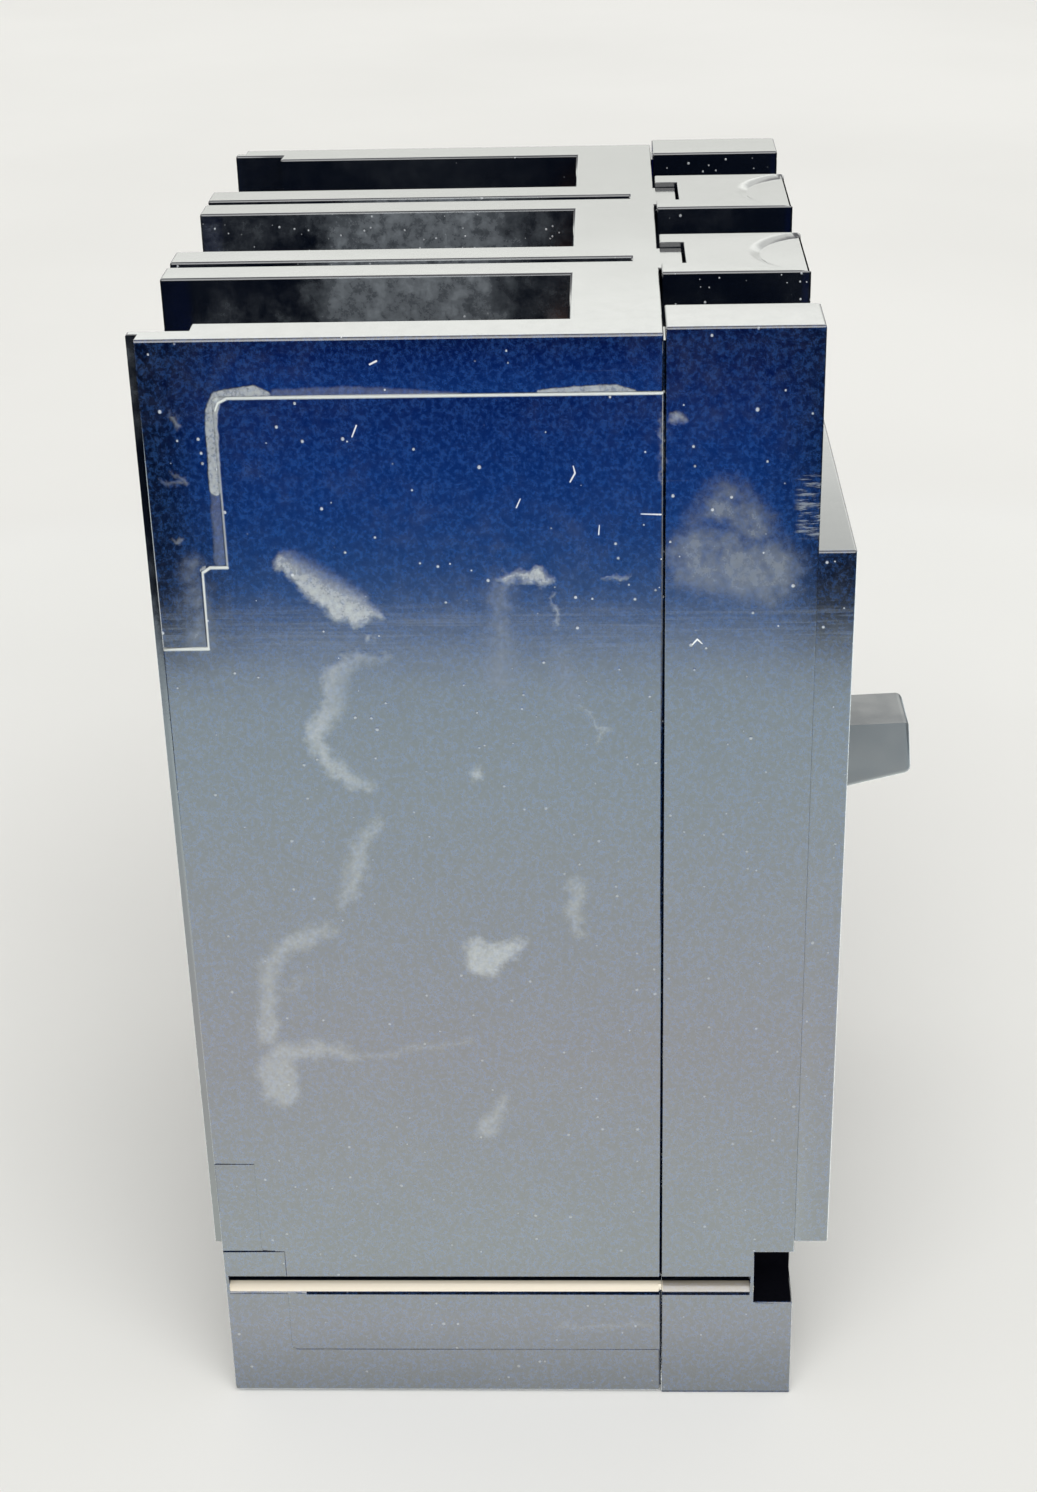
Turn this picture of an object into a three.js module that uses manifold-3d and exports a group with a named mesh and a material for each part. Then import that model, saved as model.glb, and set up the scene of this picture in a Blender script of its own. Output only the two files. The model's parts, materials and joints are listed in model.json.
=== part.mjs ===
// A three-pole molded case circuit breaker, standing on its load end.
//
// Millimetres. X runs across the poles, +Z runs from the load end up to the line end, and the front with the
// handle faces -Y. Every piece is drawn in case coordinates (x, depth, z). Depth is the distance in front of
// the mounting plane, so y = -depth. The last group moves the whole object to stand over its own centre.

import * as THREE from "three";
import { mergeVertices } from "three/addons/utils/BufferGeometryUtils.js";
import Module from "manifold-3d";

const wasm = await Module();
wasm.setup();

// ---------------------------------------------------------------- driving dimensions

const WIDTH = 105; // across the three poles
const HEIGHT = 160.3; // load end to line end
const POLE_PITCH = 35;
const JOINT_DEPTH = 64.4; // mounting plane to the joint between base and cover
const COVER_DEPTH = 83.4; // mounting plane to the front of the two end shelves
const FRONT_DEPTH = 88.1; // mounting plane to the raised front
const TIP_DEPTH = 102.5; // mounting plane to the tip of the handle

const GAP = 0.3; // clearance between pieces that touch
const FIT = 0.3; // clearance round a pin or a bar in its hole
const OVER = 1; // how far a cutting tool runs past the face that it opens

const HALF = WIDTH / 2;
const POLES = [-POLE_PITCH, 0, POLE_PITCH];
const BETWEEN_POLES = [-POLE_PITCH / 2, POLE_PITCH / 2];
const SIDES = [-1, 1];

// base and cover
const BASE_INSET = 0.7; // the base is this much shorter than the cover at the line end
const BASE_FOOT = 0.4; // and this much shorter at the load end
const BACK_RIM = 1.4; // the side walls stop this far short of the mounting plane
const BACK_RIM_WIDTH = 2.5;
const BACK_PLATE = 5;
const FRONT_WALL = 3.4;
const CHAMBER_HALF = 13.5; // half the width of the space inside each pole
const CHAMBER_Z = [30, 124];
const COVER_CHAMBER_Z = [38, 120];
const FRONT_Z = [27.3, 132]; // the raised front
const FRONT_CHAMFER = 1.2;
const FRONT_SIDE_INSET = 0.3;

// line end
const LINE_POCKET_HALF = 10.5;
const LINE_POCKET_DEPTH = 52.9;
const LINE_POCKET_Z = 131;
const COVER_LINE_HALF = 7.5;
const COVER_LINE_Z = 134;
const BARRIER_SLOT = { half: 1.2, depth: 60.7, z: 134 };
const EAR_GROOVE = { half: 12, depth: [48.2, LINE_POCKET_DEPTH], top: 152.3 };
const BACK_RABBET = { half: 3, depth: 7.3 };
const TONGUE = { half: 5.05, depth: 67.4, length: 7.6 };
const THUMB_MARK = { radius: 9.5, depth: 86.9, recess: 0.5 };

// load end
const LOAD_POCKET = { half: 10.5, depth: 40, z: 24 };
const COVER_LOAD_HALF = 8.5;
const BACK_HOLLOW = { half: 12, depth: 34, z: [4.5, 25.5] };

// ways between the chambers and the two ends, in the base
const LINE_STRAP_WAY = { half: 8, depth: [49.4, LINE_POCKET_DEPTH] };
const LINE_SCREW_WAY = 4;
const LOAD_STRAP_WAY = { half: 7, depth: [40.5, 44.1] };
const ARC_VENT = { x: 9.5, half: 2, depth: [14, 40] };

// grooves on the two sides
const SIDE_GROOVE = { z: [18.2, 21.3], recess: 1.3, ledge: 20.2, start: 1.9, end: 77.2 };
const SIDE_NOTCH = { depth: 77.8, z: [16.7, 25.6], recess: 8.4 };

// marks on the front
const BLANK_PLATE = { x: [-45, -20], z: [40, 76], recess: 0.4 };
const ON_MARK = { half: 0.5, z: [101, 106.2], recess: 0.3 };
const OFF_MARK = { z: 48, outer: 2.6, inner: 1.9, recess: 0.3 };

// screws and holes
const SCREW = { shank: 1.6, head: 3.1, headTop: 80.5, headBottom: 78.3, tip: 45, slot: 0.9 };
const COVER_SCREWS = [
  [-47.5, 128],
  [47.5, 128],
  [-17.5, 32],
  [17.5, 32],
];
const MOUNT_HOLE = { radius: 2.2, head: 4.5, seat: 77 };
const MOUNT_HOLE_Z = [12, 127];
const ROUND = 16; // sides of a round part
const SMOOTH = 32; // sides of a round hole or mark that shows

// handle and its pivot, which is also the centre of the shield behind the slot
const HANDLE_PIVOT = [47.4, 74.8];
const HANDLE_HALF = 5.4;
const HANDLE_REST = 8.3; // degrees above level
const HANDLE_SLOT = { half: 6.2, z: [54.3, 97.5] };
const SHIELD = { inner: 34, outer: 36.4, from: -49, to: 69, half: 12.6 };
const YOKE = { inner: 9.6, outer: 11, reach: 33.4, plate: 1.5, halfWidth: 4, stub: 1.9 };

// mechanism, all in the middle pole
const FRAME_PLATE = { inner: 11.4, outer: 12.8, depth: [5.3, 62], z: [59.5, 95.5] };
const CROSSBAR = { centre: [28, 75], radius: 5.5, rib: 5.9, halfLength: 47.9 };
const ARM = { half: 3, eye: 8.5, length: 37, halfDepth: 2.6, pad: 5, drive: 14 };
const ARM_OPEN = 5.1; // degrees behind upright, in the tripped position
const ARM_CLOSED = 15.5; // degrees behind upright, with the contacts closed
const LINK = { width: 5.6, hole: 1.5, pin: 1.2, thick: 1.4, length: 13.3 };
const UPPER_LINK_X = 2.2;
const LOWER_LINK_X = 4.2;
const CRADLE = { half: 1.5, pivot: [58, 93], pin: 1.5, anchor: [50.5, 89] };
const LATCH = { pivot: [50, 64], pin: 1.3, half: 4 };
const MAIN_SPRING = { x: 6.9, radius: 2, wire: 0.55, turns: 7 };

// current path, one set to a pole
const LINE_STRAP = { half: 7, narrow: 5, rear: 6, run: 119, foot: 103 };
const LINE_HEAD = { half: 11.6, z: [139, 150.5], hole: 3 };
const LINE_SCREW = { z: 146, washer: 5.6, head: 4.4, shank: 2.7, tip: 47, slot: 0.6 };
const LINE_SCREW_RISE = { washer: 1.2, head: 3.4, slot: 2.3 };
const FIXED_PAD = { thick: 6, half: 2.75, below: 1.75 };
const CHUTE = { depth: [11.5, 46], z: [96, 117.5], x: 11.3, thick: 0.8 };
const CHUTE_PLATES = { first: 13.5, pitch: 4.6, count: 7, thick: 1.4, half: 11, z: [99, 117] };
const CHUTE_THROAT = { half: 5, depth: [10, 48], z: [90, 114] };
const SHUNT_RADIUS = 1.4;
const BIMETAL = { half: 4, depth: [43.9, 45.1], z: [31.5, 59] };
const MAGNET = { half: 8, arm: 7.2, thick: 0.8, back: [37.5, 39.5], reach: [38, 46.5], z: [38, 50] };
const ARMATURE = { half: 8, depth: [48, 49.4], z: [37.5, 52] };
const LOAD_STRAP = { half: 6, depth: 41, z: [3, 36], hole: 2, holeZ: 18 };
const LUG = { half: 7, depth: [43.8, 60], z: [4, 21], wire: 5, wireDepth: 51 };
const LUG_SCREW = { z: 12.5, radius: 3.4, depth: [56.4, 67], slot: 0.6, slotDepth: 65.6 };

// trip unit
const TRIP_BAR = { centre: [55, 54], radius: 3, halfLength: 47.9 };
const PADDLE = { half: 4, depth: [51.8, 53.2], drop: 11 };
const FINGER = { half: 2.5, depth: [54.2, 55.6], top: 69 };
const BUTTON = { x: 26, z: 65, radius: 2.8, proud: 0.5, stem: 1.6, end: 58 };
const BUTTON_FLANGE = { radius: 4.2, depth: [82, 83.4] };
const BUTTON_SPRING = { depth: [65.1, 81.2], radius: 2.9, wire: 0.4, turns: 6 };
const BUTTON_SHELF = { depth: [60, 64.25], x: [21, 31], z: [59.5, 70.5] };
const STRAP = 2.5; // thickness of the copper straps

// ---------------------------------------------------------------- solids

function solid(geometry) {
  const bare = geometry.clone();
  bare.deleteAttribute("normal");
  bare.deleteAttribute("uv");
  const merged = mergeVertices(bare, 1e-4);
  const index = merged.index.array;
  const triangles = [];
  for (let i = 0; i < index.length; i += 3) {
    const [a, b, c] = [index[i], index[i + 1], index[i + 2]];
    if (a !== b && b !== c && c !== a) triangles.push(a, b, c);
  }
  const mesh = new wasm.Mesh({
    numProp: 3,
    vertProperties: merged.attributes.position.array,
    triVerts: Uint32Array.from(triangles),
  });
  return new wasm.Manifold(mesh);
}

function join(first, ...others) {
  return others.reduce((whole, piece) => whole.add(piece), first);
}

function cut(first, ...tools) {
  return tools.reduce((rest, tool) => rest.subtract(tool), first);
}

// A block between two values of x, of depth and of z.
function block([x0, x1], [d0, d1], [z0, z1]) {
  const geometry = new THREE.BoxGeometry(x1 - x0, d1 - d0, z1 - z0);
  geometry.translate((x0 + x1) / 2, -(d0 + d1) / 2, (z0 + z1) / 2);
  return solid(geometry);
}

// A round bar along X, between two values of x.
function barAcross(radius, [x0, x1], [depth, z], sides = ROUND) {
  const geometry = new THREE.CylinderGeometry(radius, radius, x1 - x0, sides);
  geometry.rotateZ(Math.PI / 2);
  geometry.translate((x0 + x1) / 2, -depth, z);
  return solid(geometry);
}

// A round bar that runs from back to front, between two depths.
function barDeep(radius, [d0, d1], [x, z], sides = ROUND) {
  const geometry = new THREE.CylinderGeometry(radius, radius, d1 - d0, sides);
  geometry.translate(x, -(d0 + d1) / 2, z);
  return solid(geometry);
}

// A round bar along Z.
function barUp(radius, [x, depth], [z0, z1], sides = ROUND) {
  const geometry = new THREE.CylinderGeometry(radius, radius, z1 - z0, sides);
  geometry.rotateX(Math.PI / 2);
  geometry.translate(x, -depth, (z0 + z1) / 2);
  return solid(geometry);
}

// A flat plate: an outline of (depth, z) points, or a shape, given its thickness between two values of x.
function plate(outline, [x0, x1]) {
  const shape = outline instanceof THREE.Shape ? outline : shapeOf(outline);
  const geometry = new THREE.ExtrudeGeometry(shape, { depth: x1 - x0, bevelEnabled: false });
  geometry.applyMatrix4(new THREE.Matrix4().set(0, 0, -1, x1, -1, 0, 0, 0, 0, 1, 0, 0, 0, 0, 0, 1));
  return solid(geometry);
}

// A rail: an outline of (x, z) points, run between two depths.
function rail(outline, [d0, d1]) {
  const geometry = new THREE.ExtrudeGeometry(shapeOf(outline), { depth: d1 - d0, bevelEnabled: false });
  geometry.applyMatrix4(new THREE.Matrix4().set(1, 0, 0, 0, 0, 0, -1, -d0, 0, 1, 0, 0, 0, 0, 0, 1));
  return solid(geometry);
}

function shapeOf(points) {
  return new THREE.Shape(points.map(([a, b]) => new THREE.Vector2(a, b)));
}

const radians = (degrees) => THREE.MathUtils.degToRad(degrees);

// The point at a distance and an angle from a pivot, in (depth, z), with the angle turning from front to up.
function polar([depth, z], distance, degrees) {
  return [depth + distance * Math.cos(radians(degrees)), z + distance * Math.sin(radians(degrees))];
}

// Turns a piece about a line along X through a pivot, by an angle that takes the front upwards.
function turn(piece, [depth, z], degrees) {
  return piece.translate([0, depth, -z]).rotate([-degrees, 0, 0]).translate([0, -depth, z]);
}

// A bar with round ends between two (depth, z) points, and a pin hole at each end.
function link([d0, z0], [d1, z1], width, hole, x) {
  const angle = Math.atan2(z1 - z0, d1 - d0);
  const shape = new THREE.Shape();
  const half = width / 2;
  shape.absarc(d1, z1, half, angle - Math.PI / 2, angle + Math.PI / 2, false);
  shape.absarc(d0, z0, half, angle + Math.PI / 2, angle + Math.PI * 1.5, false);
  const wide = [x[0] - OVER, x[1] + OVER];
  const ends = [barAcross(hole, wide, [d0, z0], 10), barAcross(hole, wide, [d1, z1], 10)];
  return cut(plate(new THREE.Shape(shape.getPoints(3)), x), ...ends);
}

// A coil spring of round wire between two points, each [x, depth, z].
function coil(from, to, radius, wire, turns) {
  const start = new THREE.Vector3(from[0], -from[1], from[2]);
  const axis = new THREE.Vector3(to[0], -to[1], to[2]).sub(start);
  const length = axis.length();
  const aim = new THREE.Quaternion().setFromUnitVectors(new THREE.Vector3(0, 0, 1), axis.normalize());
  const helix = new (class extends THREE.Curve {
    getPoint(t, target = new THREE.Vector3()) {
      const angle = t * turns * Math.PI * 2;
      target.set(radius * Math.cos(angle), radius * Math.sin(angle), t * length);
      return target.applyQuaternion(aim).add(start);
    }
  })();
  const section = new THREE.Shape();
  section.absarc(0, 0, wire, 0, Math.PI * 2, false);
  const options = { steps: turns * 7, extrudePath: helix, bevelEnabled: false };
  return solid(new THREE.ExtrudeGeometry(new THREE.Shape(section.getPoints(2).slice(0, -1)), options));
}

// ---------------------------------------------------------------- base

function sideGroove(side, from, to) {
  const inner = side * (HALF - SIDE_GROOVE.recess);
  const outer = side * (HALF + OVER);
  const lip = side * HALF;
  const outline = [
    [outer, SIDE_GROOVE.z[0]],
    [lip, SIDE_GROOVE.z[0]],
    [inner, SIDE_GROOVE.ledge],
    [inner, SIDE_GROOVE.z[1]],
    [outer, SIDE_GROOVE.z[1]],
  ];
  return rail(outline, [from, to]);
}

function span(centre, half) {
  return [centre - half, centre + half];
}

function makeBase() {
  const front = JOINT_DEPTH - GAP / 2;
  const top = HEIGHT - BASE_INSET;
  const through = [-OVER, JOINT_DEPTH + OVER];
  let base = block([-HALF, HALF], [0, front], [BASE_FOOT, top]);
  for (const x of POLES) {
    base = cut(
      base,
      block(span(x, CHAMBER_HALF), [BACK_PLATE, front + OVER], CHAMBER_Z),
      block(span(x, LINE_POCKET_HALF), [-OVER, LINE_POCKET_DEPTH], [LINE_POCKET_Z, top + OVER]),
      block(span(x, EAR_GROOVE.half), EAR_GROOVE.depth, [LINE_POCKET_Z, EAR_GROOVE.top]),
      block(span(x, LINE_STRAP_WAY.half), LINE_STRAP_WAY.depth, [CHAMBER_Z[1] - OVER, LINE_POCKET_Z + OVER]),
      barDeep(LINE_SCREW_WAY, [LINE_POCKET_DEPTH - OVER, front + OVER], [x, LINE_SCREW.z]),
      block(span(x, LOAD_POCKET.half), [LOAD_POCKET.depth, front + OVER], [-OVER, LOAD_POCKET.z]),
      block(span(x, BACK_HOLLOW.half), [-OVER, BACK_HOLLOW.depth], BACK_HOLLOW.z),
      block(span(x, LOAD_STRAP_WAY.half), LOAD_STRAP_WAY.depth, [LOAD_POCKET.z - OVER, CHAMBER_Z[0] + OVER]),
    );
    for (const side of SIDES) {
      const vent = span(x + side * ARC_VENT.x, ARC_VENT.half);
      base = cut(base, block(vent, ARC_VENT.depth, [CHAMBER_Z[1] - OVER, LINE_POCKET_Z + OVER]));
    }
  }
  for (const x of BETWEEN_POLES) {
    const wall = span(x, POLE_PITCH / 2 - CHAMBER_HALF + OVER);
    base = cut(
      base,
      block(span(x, BARRIER_SLOT.half), [-OVER, BARRIER_SLOT.depth], [BARRIER_SLOT.z, top + OVER]),
      openBearing(CROSSBAR.centre, CROSSBAR.radius + FIT, wall),
      openBearing(TRIP_BAR.centre, TRIP_BAR.radius + FIT, wall),
      ...MOUNT_HOLE_Z.map((z) => barDeep(MOUNT_HOLE.radius, through, [x, z])),
    );
    base = join(
      base,
      block(span(x, TONGUE.half), [front - OVER, TONGUE.depth], [top - TONGUE.length, top]),
      block(span(x, TONGUE.half), [front - OVER, TONGUE.depth], [BASE_FOOT, BASE_FOOT + TONGUE.length]),
    );
  }
  for (const side of SIDES) {
    const rim = [side * HALF - BACK_RIM_WIDTH, side * HALF + BACK_RIM_WIDTH];
    const rabbetX = side * (POLE_PITCH + LINE_POCKET_HALF);
    base = cut(
      base,
      block(rim, [-OVER, BACK_RIM], [-OVER, HEIGHT + OVER]),
      block(span(rabbetX, BACK_RABBET.half), [-OVER, BACK_RABBET.depth], [LINE_POCKET_Z, top + OVER]),
      sideGroove(side, SIDE_GROOVE.start, front + OVER),
    );
  }
  base = join(base, block(BUTTON_SHELF.x, BUTTON_SHELF.depth, BUTTON_SHELF.z));
  const [shelfBack, shelfFront] = BUTTON_SHELF.depth;
  base = cut(base, barDeep(BUTTON.stem + FIT, [shelfBack - OVER, shelfFront + OVER], [BUTTON.x, BUTTON.z]));
  for (const at of COVER_SCREWS) {
    base = cut(base, barDeep(SCREW.shank + FIT, [SCREW.tip - OVER, front + OVER], at, 12));
  }
  return base;
}

// A round-bottomed slot that a bar is laid into from the front.
function openBearing([depth, z], radius, wall) {
  const slot = block(wall, [depth, JOINT_DEPTH + OVER], [z - radius, z + radius]);
  return join(slot, barAcross(radius, wall, [depth, z]));
}

// ---------------------------------------------------------------- cover

function makeCover() {
  const back = JOINT_DEPTH + GAP / 2;
  const raisedX = [FRONT_SIDE_INSET - HALF, HALF - FRONT_SIDE_INSET];
  const raised = [
    [COVER_DEPTH - OVER, FRONT_Z[0]],
    [COVER_DEPTH - FRONT_CHAMFER / 2, FRONT_Z[0] - FRONT_CHAMFER],
    [COVER_DEPTH, FRONT_Z[0]],
    [FRONT_DEPTH, FRONT_Z[0]],
    [FRONT_DEPTH, FRONT_Z[1]],
    [COVER_DEPTH - OVER, FRONT_Z[1]],
  ];
  let cover = join(block([-HALF, HALF], [back, COVER_DEPTH], [0, HEIGHT]), plate(raised, raisedX));
  const inside = FRONT_DEPTH - FRONT_WALL;
  for (const x of POLES) {
    cover = cut(
      cover,
      block(span(x, CHAMBER_HALF), [back - OVER, inside], COVER_CHAMBER_Z),
      block(span(x, COVER_LINE_HALF), [back - OVER, COVER_DEPTH + OVER], [COVER_LINE_Z, HEIGHT + OVER]),
      block(span(x, COVER_LOAD_HALF), [back - OVER, COVER_DEPTH + OVER], [-OVER, LOAD_POCKET.z]),
    );
  }
  const seatToFront = [MOUNT_HOLE.seat, FRONT_DEPTH + OVER];
  const notch = span(0, TONGUE.half + FIT);
  for (const x of BETWEEN_POLES) {
    const across = notch.map((edge) => edge + x);
    const deep = [back - OVER, TONGUE.depth + FIT];
    const reach = TONGUE.length + FIT;
    cover = cut(
      cover,
      block(across, deep, [HEIGHT - BASE_INSET - reach, HEIGHT + OVER]),
      block(across, deep, [-OVER, BASE_FOOT + reach]),
      barUp(THUMB_MARK.radius, [x, THUMB_MARK.depth], [HEIGHT - THUMB_MARK.recess, HEIGHT + OVER], SMOOTH),
      ...MOUNT_HOLE_Z.map((z) => barDeep(MOUNT_HOLE.radius, [back - OVER, FRONT_DEPTH], [x, z])),
      ...MOUNT_HOLE_Z.map((z) => barDeep(MOUNT_HOLE.head, seatToFront, [x, z], SMOOTH)),
    );
  }
  for (const side of SIDES) {
    const edge = [side * HALF - SIDE_NOTCH.recess, side * HALF + SIDE_NOTCH.recess];
    cover = cut(
      cover,
      sideGroove(side, back - OVER, SIDE_GROOVE.end),
      block(edge, [SIDE_NOTCH.depth, COVER_DEPTH + OVER], SIDE_NOTCH.z),
    );
  }
  for (const at of COVER_SCREWS) {
    cover = cut(
      cover,
      barDeep(SCREW.shank + FIT, [back - OVER, SCREW.headBottom], at, 12),
      barDeep(SCREW.head + FIT, [SCREW.headBottom - GAP, FRONT_DEPTH + OVER], at, SMOOTH),
    );
  }
  return cut(cover, ...frontOpenings());
}

// The handle's slot, the trip button's hole, the blank plate recess and the I and O marks.
function frontOpenings() {
  const through = [FRONT_DEPTH - FRONT_WALL - OVER, FRONT_DEPTH + OVER];
  const skin = (recess) => [FRONT_DEPTH - recess, FRONT_DEPTH + OVER];
  const centre = [0, OFF_MARK.z];
  const island = barDeep(OFF_MARK.inner, skin(OFF_MARK.recess + OVER), centre, SMOOTH);
  const ring = cut(barDeep(OFF_MARK.outer, skin(OFF_MARK.recess), centre, SMOOTH), island);
  return [
    block(span(0, HANDLE_SLOT.half), through, HANDLE_SLOT.z),
    barDeep(BUTTON.radius + FIT, through, [BUTTON.x, BUTTON.z], SMOOTH),
    block(BLANK_PLATE.x, skin(BLANK_PLATE.recess), BLANK_PLATE.z),
    block(span(0, ON_MARK.half), skin(ON_MARK.recess), ON_MARK.z),
    ring,
  ];
}

function coverScrew([x, z]) {
  const head = barDeep(SCREW.head, [SCREW.headBottom, SCREW.headTop], [x, z]);
  const slotDepth = [SCREW.headTop - 1, SCREW.headTop + OVER];
  const slot = block(span(x, SCREW.slot / 2), slotDepth, span(z, SCREW.head + OVER));
  return cut(join(head, barDeep(SCREW.shank, [SCREW.tip, SCREW.headBottom + OVER], [x, z], 12)), slot);
}

// ---------------------------------------------------------------- handle

function makeHandle() {
  const lever = [
    [82, 73.4],
    [TIP_DEPTH, 78.6],
    [TIP_DEPTH - 0.7, 87],
    [82, 86.1],
  ];
  const shield = new THREE.Shape();
  const [depth, z] = HANDLE_PIVOT;
  shield.absarc(depth, z, SHIELD.outer, radians(SHIELD.from), radians(SHIELD.to), false);
  shield.absarc(depth, z, SHIELD.inner, radians(SHIELD.to), radians(SHIELD.from), true);
  const arc = plate(new THREE.Shape(shield.getPoints(10)), span(0, SHIELD.half));
  return join(plate(lever, span(0, HANDLE_HALF)), arc);
}

function makeYoke() {
  const [depth, z] = HANDLE_PIVOT;
  const reach = depth + YOKE.reach;
  const across = block(span(0, YOKE.outer), [reach - YOKE.plate, reach], span(z, YOKE.halfWidth));
  const pieces = [];
  for (const side of SIDES) {
    const x = side > 0 ? [YOKE.inner, YOKE.outer] : [-YOKE.outer, -YOKE.inner];
    const end = side > 0 ? [YOKE.inner, FRAME_PLATE.outer - GAP] : [GAP - FRAME_PLATE.outer, -YOKE.inner];
    pieces.push(block(x, [depth, reach], span(z, YOKE.halfWidth)));
    pieces.push(barAcross(YOKE.halfWidth, x, HANDLE_PIVOT));
    pieces.push(barAcross(YOKE.stub, end, HANDLE_PIVOT, 12));
  }
  return turn(join(across, ...pieces), HANDLE_PIVOT, HANDLE_REST);
}

// ---------------------------------------------------------------- mechanism

function makeFramePlate(side) {
  const x = side > 0 ? [FRAME_PLATE.inner, FRAME_PLATE.outer] : [-FRAME_PLATE.outer, -FRAME_PLATE.inner];
  const wide = [x[0] - OVER, x[1] + OVER];
  const window = [
    [38, 63],
    [46, 63],
    [46, 67],
    [38, 67],
  ];
  return cut(
    block(x, FRAME_PLATE.depth, FRAME_PLATE.z),
    barAcross(CROSSBAR.radius + OVER, wide, CROSSBAR.centre),
    barAcross(YOKE.stub + FIT, wide, HANDLE_PIVOT, 12),
    barAcross(CRADLE.pin + FIT, wide, CRADLE.pivot, 12),
    barAcross(LATCH.pin + FIT, wide, LATCH.pivot, 12),
    plate(window, wide),
  );
}

function makeCradle() {
  const outline = [
    [61, 96],
    [55, 96],
    [47.5, 92],
    [47.5, 86],
    [56, 85],
    [63.4, 69],
    [65.2, 65.5],
    [68.6, 66.6],
    [64, 85],
  ];
  const pin = barAcross(CRADLE.pin, span(0, FRAME_PLATE.outer - GAP), CRADLE.pivot, 12);
  return join(plate(outline, span(0, CRADLE.half)), pin);
}

function makeLatch() {
  const outline = [
    [48, 66],
    [48, 61],
    [62.5, 61],
    [61, 63.4],
    [52, 63.4],
    [52, 66],
  ];
  const pin = barAcross(LATCH.pin, span(0, FRAME_PLATE.outer - GAP), LATCH.pivot, 12);
  return join(plate(outline, span(0, LATCH.half)), pin);
}

function makeCrossbar() {
  const ribs = [];
  for (const x of POLES) {
    for (const side of SIDES) {
      const [depth, z] = CROSSBAR.centre.map((middle) => span(middle, CROSSBAR.rib));
      ribs.push(block(span(x + side * 4.2, 0.8), depth, z));
    }
  }
  return join(barAcross(CROSSBAR.radius, span(0, CROSSBAR.halfLength), CROSSBAR.centre), ...ribs);
}

// A contact arm, drawn upright over the crossbar and then tipped back.
function makeContactArm(x) {
  const [depth, z] = CROSSBAR.centre;
  const wide = span(x, ARM.half);
  const blade = block(wide, span(depth, ARM.halfDepth), [z + ARM.eye - 2, z + ARM.length]);
  const pad = block(wide, [depth - ARM.pad, depth], [z + ARM.length - 4.5, z + ARM.length + 1]);
  const arm = cut(
    join(barAcross(ARM.eye, wide, CROSSBAR.centre), blade, pad),
    barAcross(CROSSBAR.radius + FIT, span(x, ARM.half + OVER), CROSSBAR.centre),
    barAcross(LINK.hole, span(x, ARM.half + OVER), [depth, z + ARM.drive], 12),
  );
  return turn(arm, CROSSBAR.centre, ARM_OPEN);
}

// The places of the toggle's three pins in the tripped position.
const DRIVE_PIN = polar(CROSSBAR.centre, ARM.drive, 90 + ARM_OPEN);
const TOGGLE_PIN = kneeBetween(DRIVE_PIN, CRADLE.anchor, LINK.length);

// The knee of two equal links that bend towards the load end.
function kneeBetween([d0, z0], [d1, z1], length) {
  const half = Math.hypot(d1 - d0, z1 - z0) / 2;
  const drop = Math.sqrt(length * length - half * half);
  const angle = Math.atan2(z1 - z0, d1 - d0);
  return [(d0 + d1) / 2 + drop * Math.sin(angle), (z0 + z1) / 2 - drop * Math.cos(angle)];
}

function linkSpan(side, x) {
  return side > 0 ? [x, x + LINK.thick] : [-x - LINK.thick, -x];
}

function mainSpring(side) {
  const anchor = polar(HANDLE_PIVOT, YOKE.reach - 3.5, HANDLE_REST);
  const start = new THREE.Vector2(...TOGGLE_PIN).lerp(new THREE.Vector2(...anchor), 0.12);
  const x = side * MAIN_SPRING.x;
  const { radius, wire, turns } = MAIN_SPRING;
  return coil([x, start.x, start.y], [x, ...anchor], radius, wire, turns);
}

// ---------------------------------------------------------------- current path

// The line terminal: a head with ears in the pocket, and a strap that runs back inside to the fixed contact.
function makeLineTerminal(x) {
  const front = LINE_POCKET_DEPTH - 0.4;
  const { half, narrow, rear, run, foot } = LINE_STRAP;
  const strap = join(
    block(span(x, half), [front - STRAP, front], [run, LINE_HEAD.z[1]]),
    block(span(x, LINE_HEAD.half), [front - STRAP, front], LINE_HEAD.z),
    block(span(x, narrow), [rear, front], [run, run + STRAP]),
    block(span(x, narrow), [rear, rear + STRAP], [foot, run + STRAP]),
    fixedContact(x),
  );
  return cut(strap, barDeep(LINE_HEAD.hole, [front - STRAP - OVER, front + OVER], [x, LINE_SCREW.z], 12));
}

function fixedContact(x) {
  const [depth, z] = CROSSBAR.centre;
  const face = depth - ARM.pad - GAP;
  const middle = z + ARM.length - FIXED_PAD.below;
  const pad = block(span(x, ARM.half), [face - FIXED_PAD.thick, face], span(middle, FIXED_PAD.half));
  return turn(pad, CROSSBAR.centre, ARM_CLOSED);
}

function makeLineScrew(x) {
  const seat = JOINT_DEPTH + GAP;
  const { z, washer, head, shank, tip, slot } = LINE_SCREW;
  const rise = LINE_SCREW_RISE;
  const top = join(
    barDeep(washer, [seat, seat + rise.washer], [x, z]),
    barDeep(head, [seat + OVER, seat + rise.head], [x, z]),
  );
  const slotTool = block(span(x, head + OVER), [seat + rise.slot, seat + rise.head + OVER], span(z, slot));
  return cut(join(top, barDeep(shank, [tip, seat + OVER], [x, z], 12)), slotTool);
}

function makeArcChute(x) {
  const cheeks = SIDES.map((side) => block(span(x + side * CHUTE.x, CHUTE.thick), CHUTE.depth, CHUTE.z));
  const { first, pitch, count, thick, half, z } = CHUTE_PLATES;
  const plates = [];
  for (let i = 0; i < count; i += 1) {
    const depth = first + i * pitch;
    plates.push(block(span(x, half), [depth, depth + thick], z));
  }
  const throat = block(span(x, CHUTE_THROAT.half), CHUTE_THROAT.depth, CHUTE_THROAT.z);
  return cut(join(...cheeks, ...plates), throat);
}

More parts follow.
